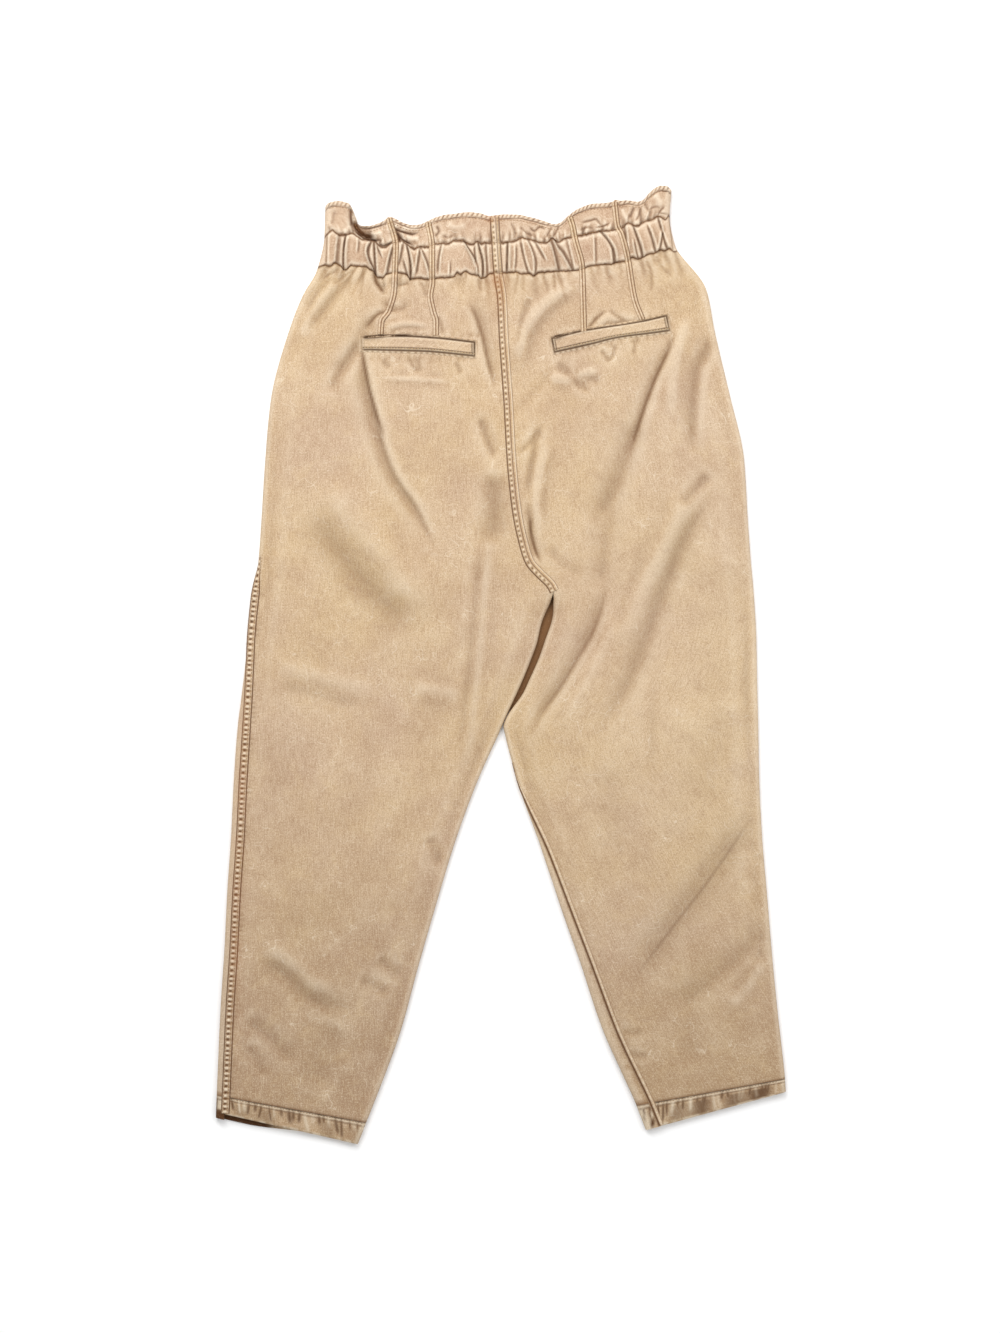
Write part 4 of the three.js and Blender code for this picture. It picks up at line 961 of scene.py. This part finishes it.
edgeRelief = {"heading": whipRelief, "hem": turnedHem}
cut = {}   # width, area and height of each sheet laid flat, from its outline
sheets = {}
for bandName, band in bands.items():
    for layer in ("back", "front"):
        thin = 1 if layer == "back" else frontThin
        for side in ("left", "right"):
            s = rowStations(side, band["start"], band["end"], band["near"] * thin, band["far"] * thin)[:, None]
            roll = innerRoll(layer, s)
            sideSeam, inseam = seamAt(side, "side", s), seamAt(side, "inseam", s)
            _, _, _, _, total = facePoints(side, layer, s, np.zeros_like(s))
            way = 1 if layer == "back" else -1
            along = columnSteps(way * sideSeam, total - way * roll * inseam, band["fine"] * thin,
                                band["fineCount"] // int(thin + 0.5), band["coarse"] * thin)
            x, y, z, soil, _ = facePoints(side, layer, s, along)
            if bandName == "panel" and layer == "back" and side == "left":
                pulled, dark = besideSeam(y, along - sideSeam)
                z, soil = z + pulled, np.maximum(soil, dark)
            if bandName == "panel" and layer == "front" and side == "right":
                pulled, dark = besideInseam(y, z)
                z, soil = z + pulled, np.maximum(soil, 0.7 * dark)
            stations = np.broadcast_to(s, x.shape)
            hiddenPanel = layer == "front" and bandName == "panel"
            wearAndHighlight, soil = seamMarks(bandName, side, layer, x, y, z, stations, 0 * soil if hiddenPanel else soil)
            if bandName in edgeRelief:
                rope, light, dark = edgeRelief[bandName](x, stations)
                z = z + rope * ease(1.5, 4, z) if layer == "back" else z
                wearAndHighlight, soil = np.maximum(wearAndHighlight, light), np.maximum(soil, dark)
            marks = {"wearAndHighlight": wearAndHighlight, "soil": soil, "rust": rustAt(x, y)}
            node = f"{bandName}_{layer}_{side}".replace("panel_", "")
            piece = sheetPiece(node + "_cloth", x, y, z, marks, layer == "back", band["wall"],
                               cloth["under" if hiddenPanel else band["look"]])
            if hiddenPanel:  # the fork's shade is on the inner face alone
                paintedShading = np.zeros(len(piece.data.vertices), np.float32)
                piece.data.attributes["soil"].data.foreach_get("value", paintedShading)
                inner = np.clip(0.8 * foldRelief(inTheFork, x, y)[0], 0, 1).ravel()
                paintedShading[inner.size:] = np.maximum(paintedShading[inner.size:], inner)
                piece.data.attributes["soil"].data.foreach_set("value", paintedShading)
            cells = np.hypot(np.diff(x, axis=1), np.diff(y, axis=1))[:-1] * np.abs(np.diff(y, axis=0))[:, :-1]
            area = float(np.sum(cells)) * mm * mm
            width = float(np.max(along[:, -1] - along[:, 0])) * mm
            cut[node] = (width, area, float(np.max(np.abs(y[0] - y[-1]))) * mm)
            sheets[node] = piece
            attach(piece, "root")
            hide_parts(node)
    print(bandName, "made")


# ---- what lies on the cloth takes its height from the cloth below it
def treeOf(pieces):
    points, faces = [], []
    for piece in pieces:
        start = len(points)
        points += [v.co.copy() for v in piece.data.vertices]
        faces += [[start + i for i in f.vertices] for f in piece.data.polygons]
    return BVHTree.FromPolygons(points, faces)


def topOf(tree, x, y):
    origin = Vector(((x + shift[0]) * mm, (y + shift[1]) * mm, 0.05))
    hit = tree.ray_cast(origin, Vector((0, 0, -1)), 0.1)[0]
    return None if hit is None else hit.z / mm


def heightsOn(tree, x, y, fallback=6.0):
    found = np.full(x.shape, np.nan)
    for i in np.ndindex(x.shape):
        z = topOf(tree, x[i], y[i])
        if z is not None:
            found[i] = z
    found[np.isnan(found)] = fallback
    return found


def routeFrame(route, spacing):
    route = np.asarray(route, float)
    steps = np.hypot(*np.diff(route, axis=0).T)
    along = np.concatenate([[0], np.cumsum(steps)])
    at = np.linspace(0, along[-1], max(2, int(round(along[-1] / spacing)) + 1))
    smooth = np.stack([smoothCurve(along, route[:, k])(at) for k in (0, 1)], axis=1)
    tangent = np.gradient(smooth, axis=0)
    tangent /= np.hypot(*tangent.T)[:, None]
    return at, smooth, tangent, np.stack([-tangent[:, 1], tangent[:, 0]], axis=1)


stripForm = {"spacing": 0.9, "wall": 0.5}
strips = {}


def addStrip(node, route, offsets, profile, marksOf, taper=0.0):
    at, middle, tangent, normal = routeFrame(route, stripForm["spacing"])
    offsets = np.asarray(offsets, float)[None, :]
    narrow = mix(0.15, 1, ease(0, taper, at[:, None])) if taper else 1
    x = middle[:, :1] + normal[:, :1] * offsets * narrow
    y = middle[:, 1:] + normal[:, 1:] * offsets * narrow
    base = blurred(heightsOn(clothTree, x, y), 2)
    lift, wearAndHighlight, soil = marksOf(at[:, None], offsets)
    z = base + profile(at[:, None], offsets) + lift
    marks = {"wearAndHighlight": wearAndHighlight + 0 * x, "soil": soil + 0 * x, "rust": rustAt(x, y)}
    piece = sheetPiece(node + "_strip", x, y, z, marks, True, stripForm["wall"], cloth["seam"])
    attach(piece, "root")
    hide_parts(node)
    strips[node] = (piece, at[-1] * mm, float(offsets[0, -1] - offsets[0, 0]) * mm)


def panelSeam(side, which, start, end):  # the line where the back panel ends, as seen from above
    s = np.linspace(start, end, 90)[:, None]
    _, _, _, _, total = facePoints(side, "back", s, np.zeros_like(s))
    along = seamAt(side, which, s)
    if which != "side":
        along = total - innerRoll("back", s) * along
    x, y, _, _, _ = facePoints(side, "back", s, along)
    return np.concatenate([x, y], axis=1)


def line(offset, width, offsets):  # a soft line along a strip
    return np.exp(-(((offsets - offset) / width) ** 2))


def ladder(at, period, seed):  # uneven pulls along a sewn row, from 0 to 1
    warped = at + 0.9 * np.sin(at / 11 + seed) + 0.5 * np.sin(at / 4.1 + 2 * seed)
    return 0.5 + 0.5 * np.sin(2 * np.pi * warped / period)


felled = {"period": 5.8, "edge": 5.0, "row": 2.7, "height": 0.85}


def felledProfile(at, offsets):
    across = np.clip(np.abs(offsets) / (felled["edge"] + 0.4), 0, 1)
    return 0.12 + felled["height"] * (1 - across**4) + 0 * at


# along the strips: painted shade at their edges and in the sunk stitches, wear and painted highlight on the raised rows
def centreMarks(at, offsets):
    pull = ladder(at, felled["period"], 1)
    inWaist = ease(66, 60, at)
    row, other = line(-felled["row"] + 0.7, 1.2, offsets), line(felled["row"] + 0.6, 0.6, offsets)
    lift = 0.5 * (pull - 0.6) * row - 0.35 * other - 0.3 * line(0.9, 0.6, offsets)
    wearAndHighlight = np.maximum(0.95 * row * pull, 0.75 * line(3.9, 0.6, offsets)) * ease(0, 20, at + 40)
    wearAndHighlight = np.maximum(wearAndHighlight, inWaist * 0.55 * line(0, 2.6, offsets))
    soil = np.maximum(0.85 * row * (1 - pull) ** 1.5, 0.7 * line(1.1, 0.7, offsets))
    soil = np.maximum(soil, 0.95 * line(-4.5, 0.8, offsets))
    soil = np.maximum(soil, 0.6 * line(4.9, 0.6, offsets))
    edges = line(-4.4, 0.8, offsets) + line(4.3, 0.8, offsets) + 0.4 * line(2.6, 0.5, offsets)
    soil = np.maximum(soil, inWaist * 0.9 * edges)
    return lift, wearAndHighlight, np.clip(soil, 0, 1)


def sideMarks(at, offsets):
    pull = ladder(at, 5.6, 2)
    row = line(-0.6, 2.2, offsets)
    wearAndHighlight = np.maximum(row * ease(0.45, 0.9, pull), 0.7 * line(3, 0.6, offsets) * pull)
    wearAndHighlight = np.maximum(wearAndHighlight, 0.5 * line(-3, 0.6, offsets))
    soil = np.maximum(0.95 * row * ease(0.5, 0.12, pull), line(4.1, 0.8, offsets))
    soil = np.maximum(soil, 0.95 * line(-4.2, 0.8, offsets))
    return 0.7 * (pull - 0.6) * row, wearAndHighlight * (1 - 0.7 * soil), np.clip(soil, 0, 1)


def inseamMarks(at, offsets):
    pull = ladder(at, 9, 3)
    wearAndHighlight = 0.95 * line(1.1, 1.0, offsets) * (0.65 + 0.35 * pull)
    return 0.2 * (pull - 0.5), wearAndHighlight, np.clip(line(-1.4, 1.1, offsets) + 0.35 * line(2.9, 0.6, offsets), 0, 1)


def dartMarks(at, offsets):
    pull = ladder(at, 5, 4)
    wearAndHighlight = np.maximum(0.55 * line(-1.6, 0.7, offsets), 0.35 * line(1.4, 0.65, offsets)) * (0.5 + 0.5 * pull)
    soil = 0.75 * line(-0.1, 0.6, offsets) + 0.9 * line(2.9, 0.6, offsets) + 0.4 * line(-3.1, 0.6, offsets)
    return -0.45 * line(-0.1, 0.6, offsets) + 0.12 * (pull - 0.5), wearAndHighlight, np.clip(soil, 0, 1)


def slimProfile(half, high):
    return lambda at, offsets: 0.1 + high * np.sqrt(np.clip(1 - (offsets / half) ** 2, 0, 1)) + 0 * at


across = {"wide": np.linspace(-5.2, 5.2, 21), "side": np.linspace(-4.6, 4.6, 18), "slim": np.linspace(-3.1, 3.1, 12),
          "dart": np.linspace(-3.3, 3.3, 16)}
centreRoute = [(-6.5, 468), (-6, 455), (-5, 442), (-4, 425), (-2.5, 407), (1, 384), (3, 342), (6, 300), (7.5, 279),
               (11, 216), (14.5, 178), (18, 153), (23, 130), (30, 108), (41, 95), (52, 84), (56, 77)]
dartRoutes = {
    "dart_left_outer": [(-117, 467), (-110, 439), (-111, 407), (-112, 390), (-118, 370), (-125, 359), (-126, 346)],
    "dart_left_inner": [(-76, 463), (-72, 437), (-72, 401), (-74, 386), (-71, 370), (-68, 359), (-68, 345)],
    "dart_right_inner": [(72, 468), (75, 459), (78, 444), (85, 415), (86, 382), (87, 347)],
    "dart_right_outer": [(119, 484), (122, 459), (126, 451), (133, 424), (136, 404), (140, 382), (148, 361)],
}
clothTree = treeOf(sheets.values())
addStrip("centre_back_seam", centreRoute, across["wide"], felledProfile, centreMarks)
sideRoute = panelSeam("left", "side", station["curve"] - 0.1, station["ankle"] + 0.95)
sideRoute = sideRoute + [1.2, 0]
addStrip("outseam_left", sideRoute, across["side"], slimProfile(4.8, 0.9), sideMarks, taper=45)
inseamRoute = panelSeam("right", "inseam", station["gap"] + 0.7, station["ankle"] + 0.95)
addStrip("inseam_right", inseamRoute, across["slim"], slimProfile(3.2, 1.1), inseamMarks, taper=70)
for name, route in dartRoutes.items():
    addStrip(name, route, across["dart"], slimProfile(3.4, 0.8), dartMarks)
print("strips made")

# ---- pocket welts: a folded slab standing open along its top, in a sewn margin of cloth, with painted shade in the slot, along its foot and at its ends, and its edges paler by wear and painted highlight
weltForm = {"margin": 3.4, "high": 1.7, "tall": 12.4, "wall": 1.2, "grid": (180, 34)}
weltLines = {
    "welt_left": dict(top=[(-145.5, 342), (-104, 343.5), (-68, 341.5), (-28, 337)],
                      foot=[(-145.5, 330), (-82, 328.5), (-28, 323.5)], open=(0.0, 0.5), darkEnds=(0.35, 1)),
    "welt_right": dict(top=[(54, 341), (87, 349), (106, 352), (149, 359), (173, 364.5)],
                       foot=[(56.5, 327.5), (95, 336), (122, 342.5), (159, 347.5), (176, 350)],
                       open=(0.0, 0.16), darkEnds=(1, 0.9)),
}
for node, edges in weltLines.items():
    ends = []
    long = np.hypot(*np.diff(np.array([edges["top"][0], edges["top"][-1]], float), axis=0)[0])
    tall, margin = weltForm["tall"], weltForm["margin"]
    u = np.linspace(-margin / long, 1 + margin / long, weltForm["grid"][0])[:, None]
    v = np.linspace(-margin / tall, 1 + margin / tall, weltForm["grid"][1])[None, :]
    for key in ("top", "foot"):
        points = np.array(edges[key], float)
        reach = np.concatenate([[0], np.cumsum(np.hypot(*np.diff(points, axis=0).T))])
        inside = [smoothCurve(reach / reach[-1], points[:, k])(np.clip(u, 0, 1)) for k in (0, 1)]
        past = (u - np.clip(u, 0, 1)) * long
        lean = (points[-1] - points[0]) / long
        ends.append([inside[k] + past * lean[k] for k in (0, 1)])
    x, y = (mix(ends[0][k], ends[1][k], v) for k in (0, 1))
    base = blurred(heightsOn(clothTree, x, y), 3)
    fromEnd, down = np.minimum(u, 1 - u) * long + 0 * v, v * tall + 0 * u
    atEnd = np.where(u < 0.5, edges["darkEnds"][0], edges["darkEnds"][1])
    inSlab = np.minimum(np.minimum(fromEnd, down), tall - down)  # in from the slab's outline, negative in the margin
    raised = np.clip(inSlab / 1.1, 0, 1) ** 0.5
    pull = ladder(u * long, 6.3, 5)
    thin = ease(-margin, -margin + 1.6, inSlab)
    slab = weltForm["high"] * raised * (0.85 + 0.15 * np.cos(down / tall * 2 * np.pi))
    slab = slab - 0.5 * line(tall - 1.9, 0.55, down) * raised - 0.45 * line(2, 0.5, fromEnd) * raised
    seam = line(0, 0.95, inSlab + 0.4)
    ridge = line(0, 0.8, inSlab + 2)
    z = base - 0.12 + 0.45 * thin + slab + 0.35 * ridge * (0.4 + pull) - 0.2 * seam
    first, last = edges["open"]
    slot = np.exp(-(((down + 0.9) / mix(2.9, 1.4, ease(0.1, 0.25, u))) ** 2))
    slot = slot * ease(first - 0.02, first + 0.04, u) * ease(last, last - 0.12, u)
    z = z - 0.3 * slot
    lower = 0.8 * line(tall - 0.8, 0.55, down) * raised * (0.5 + 0.5 * pull)
    wearAndHighlight = np.maximum(0.8 * line(1.1, 0.7, down) * raised, lower)
    wearAndHighlight = np.maximum(np.maximum(wearAndHighlight, 0.8 * line(0.9, 0.6, fromEnd) * raised), 0.85 * ridge * pull * (down > 2))
    wearAndHighlight = np.maximum(wearAndHighlight, 0.08 * raised)
    soil = np.maximum(0.9 * line(tall - 2, 0.65, down) * raised, 0.85 * line(2.2, 0.6, fromEnd) * raised * atEnd)
    soil = np.maximum(soil, seam * np.where(down > tall / 2, 0.85, 1) * np.where(fromEnd < 1.5, atEnd, 1))
    soil = np.maximum(np.maximum(soil, slot), 0.5 * ridge * (1 - pull) ** 2)
    marks = {"wearAndHighlight": wearAndHighlight * (1 - 0.7 * soil), "soil": soil, "rust": rustAt(x, y)}
    piece = sheetPiece(node + "_slab", x, y, z, marks, True, weltForm["wall"], cloth["welt"])
    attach(piece, "root")
    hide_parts(node)
    strips[node] = (piece, (long + 2 * margin) * mm, (tall + 2 * margin) * mm)
print("welts made")

# ---- stitches: one is modelled and copied along every sewn row
bpy.ops.object.select_all(action="DESELECT")
stitchForm = {"long": 2.3, "wide": 0.55, "high": 0.45, "pitch": 3.1, "sunk": 0.05, "steepest": 2.5}
bpy.ops.mesh.primitive_uv_sphere_add(segments=6, ring_count=5, radius=0.5, rotation=(0, math.pi / 2, 0))
bpy.ops.object.transform_apply(location=False, rotation=True, scale=False)
oneStitch = bpy.context.object
oneStitch.scale = (stitchForm["long"] * mm, stitchForm["wide"] * mm, stitchForm["high"] * mm)
bpy.ops.object.transform_apply(location=False, rotation=False, scale=True)
stitchPoints = np.array([v.co[:] for v in oneStitch.data.vertices])
stitchFaces = [tuple(f.vertices) for f in oneStitch.data.polygons]
bpy.data.objects.remove(oneStitch)


def sewnRow(tree, route, offset=0.0, pitch=stitchForm["pitch"]):
    at, middle, tangent, normal = routeFrame(route, pitch)
    middle = middle + normal * offset
    half = 0.5 * stitchForm["long"]
    found = []
    for (x, y), (tx, ty) in zip(middle, tangent):
        a, b, c = (topOf(tree, x + k * tx, y + k * ty) for k in (-half, 0, half))
        if a is None or b is None or c is None or abs(a - c) > stitchForm["steepest"]:
            continue
        z = max(b, (a + c) / 2) + stitchForm["sunk"]
        along = np.array([tx * 2 * half, ty * 2 * half, c - a])
        along /= np.linalg.norm(along)
        side = np.cross([0, 0, 1], along)
        side /= np.linalg.norm(side)
        turn = np.stack([along, side, np.cross(along, side)])
        place = (np.array([x, y, z]) + shift) * mm
        found.append(stitchPoints @ turn + place)
    return found


def stitchPiece(name, rows, material):
    blocks = [block for row in rows for block in row]
    points = np.concatenate(blocks)
    count = len(stitchPoints)
    faces = [tuple(i + k * count for i in face) for k in range(len(blocks)) for face in stitchFaces]
    mesh = bpy.data.meshes.new(name)
    mesh.from_pydata(points.tolist(), [], faces)
    mesh.materials.append(material)
    piece = bpy.data.objects.new(name, mesh)
    bpy.context.collection.objects.link(piece)
    applyAll(piece)
    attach(piece, "root")
    return piece


def waistRoute(row, start, end, drop=0.0):
    x = np.linspace(start, end, 70)
    return np.stack([x, waistY(row, x) - drop], axis=1)


onTop = treeOf([p for n, p in sheets.items() if "back" in n] + [p for p, _, _ in strips.values()])
rows = {
    "casing_stitches": ("brown", [sewnRow(onTop, waistRoute("upper", -181, 174)),
                                  sewnRow(onTop, waistRoute("lower", -188, 181))]),
    "heading_stitches": ("brown", [sewnRow(onTop, waistRoute("edge", -182, 176, 6.4), pitch=3.4)]),
    "centre_stitches": ("pale", [sewnRow(onTop, centreRoute, -2.4), sewnRow(onTop, centreRoute, 2.9)]),
    "outseam_stitches": ("brown", [sewnRow(onTop, sideRoute, -2.6), sewnRow(onTop, sideRoute, 2.2)]),
    "inseam_stitches": ("pale", [sewnRow(onTop, inseamRoute, 1.2)]),
    "dart_stitches": ("brown", [sewnRow(onTop, route, -0.1) for route in dartRoutes.values()]),
}
for name, (tone, found) in rows.items():
    stitchPiece(name, found, thread[tone])
hemRows = []
for side in ("left", "right"):
    s = np.full((60, 1), float(station["ankle"]))
    total = facePoints(side, "back", s[:1], np.zeros((1, 1)))[4]
    along = np.linspace(12, float(total[0, 0]) - 4, 60)[:, None]
    x, y, _, _, _ = facePoints(side, "back", s, along)
    hemRows.append(sewnRow(onTop, np.concatenate([x, y - 1.6], axis=1)))
stitchPiece("hem_stitches", hemRows, thread["brown"])
weltRows = [sewnRow(onTop, np.array(edges["foot"], float) + [0, 1.9]) for edges in weltLines.values()]
stitchPiece("welt_stitches", weltRows, thread["pale"])
print("stitches made")


for node, piece in sheets.items():
    width, area, height = cut[node]
    under = [sheets[node.replace("back", "front")].name] if "back" in node else []
for node, (piece, long, wide) in strips.items():
    under = [sheets["back_right" if "right" in node else "back_left"].name]
    if "welt" not in node and "dart" in node or node == "centre_back_seam":
        side = "right" if "right" in node else "left"
        under += [sheets[f"casing_back_{side}"].name, sheets[f"heading_back_{side}"].name]

# ---- floor, soft light and a camera looking straight down
room = {"floorHalf": 6, "floorShade": 0.98, "ambient": 0.66, "lens": 85, "eye": (-0.000525, -0.000525, 3.3055)}
lights = {"key": dict(at=(-0.5, 1.25, 1.45), size=1.3, power=30), "fill": dict(at=(1.3, 0.6, 1.6), size=1.4, power=14)}
half, shade = room["floorHalf"], room["floorShade"]
floorMesh = bpy.data.meshes.new("floor")
floorMesh.from_pydata([(-half, -half, 0), (half, -half, 0), (half, half, 0), (-half, half, 0)], [], [(0, 1, 2, 3)])
floor = bpy.data.objects.new("floor", floorMesh)
bpy.context.collection.objects.link(floor)
paper = bpy.data.materials.new("paper")
paper.use_nodes = True
paper.node_tree.nodes["Principled BSDF"].inputs["Base Color"].default_value = (shade, shade, shade, 1)
paper.node_tree.nodes["Principled BSDF"].inputs["Roughness"].default_value = 0.9
floorMesh.materials.append(paper)

world = bpy.data.worlds.new("softRoom")
bpy.context.scene.world = world
world.use_nodes = True
world.node_tree.nodes["Background"].inputs["Color"].default_value = (1, 1, 1, 1)
world.node_tree.nodes["Background"].inputs["Strength"].default_value = room["ambient"]

for name, light in lights.items():
    data = bpy.data.lights.new(name, "AREA")
    data.energy, data.size = light["power"], light["size"]
    lamp = bpy.data.objects.new(name, data)
    lamp.location = light["at"]
    lamp.rotation_euler = (-Vector(light["at"])).to_track_quat("-Z", "Y").to_euler()
    bpy.context.collection.objects.link(lamp)

view = bpy.data.cameras.new("above")
view.lens, view.sensor_width, view.sensor_fit = room["lens"], 36, "AUTO"
view.dof.use_dof = False
camera = bpy.data.objects.new("above", view)
camera.location = room["eye"]
bpy.context.collection.objects.link(camera)
bpy.context.scene.camera = camera
bpy.context.scene.view_settings.view_transform = "Standard"
print("floor, lights and camera placed")

made = [o for o in bpy.context.scene.objects if o.type == "MESH" and not o.hide_render]
triangles = {o.name: sum(len(f.vertices) - 2 for f in o.data.polygons) for o in made}
largest = max(triangles, key=triangles.get)
print("triangles in all", sum(triangles.values()), "largest piece", largest, triangles[largest])
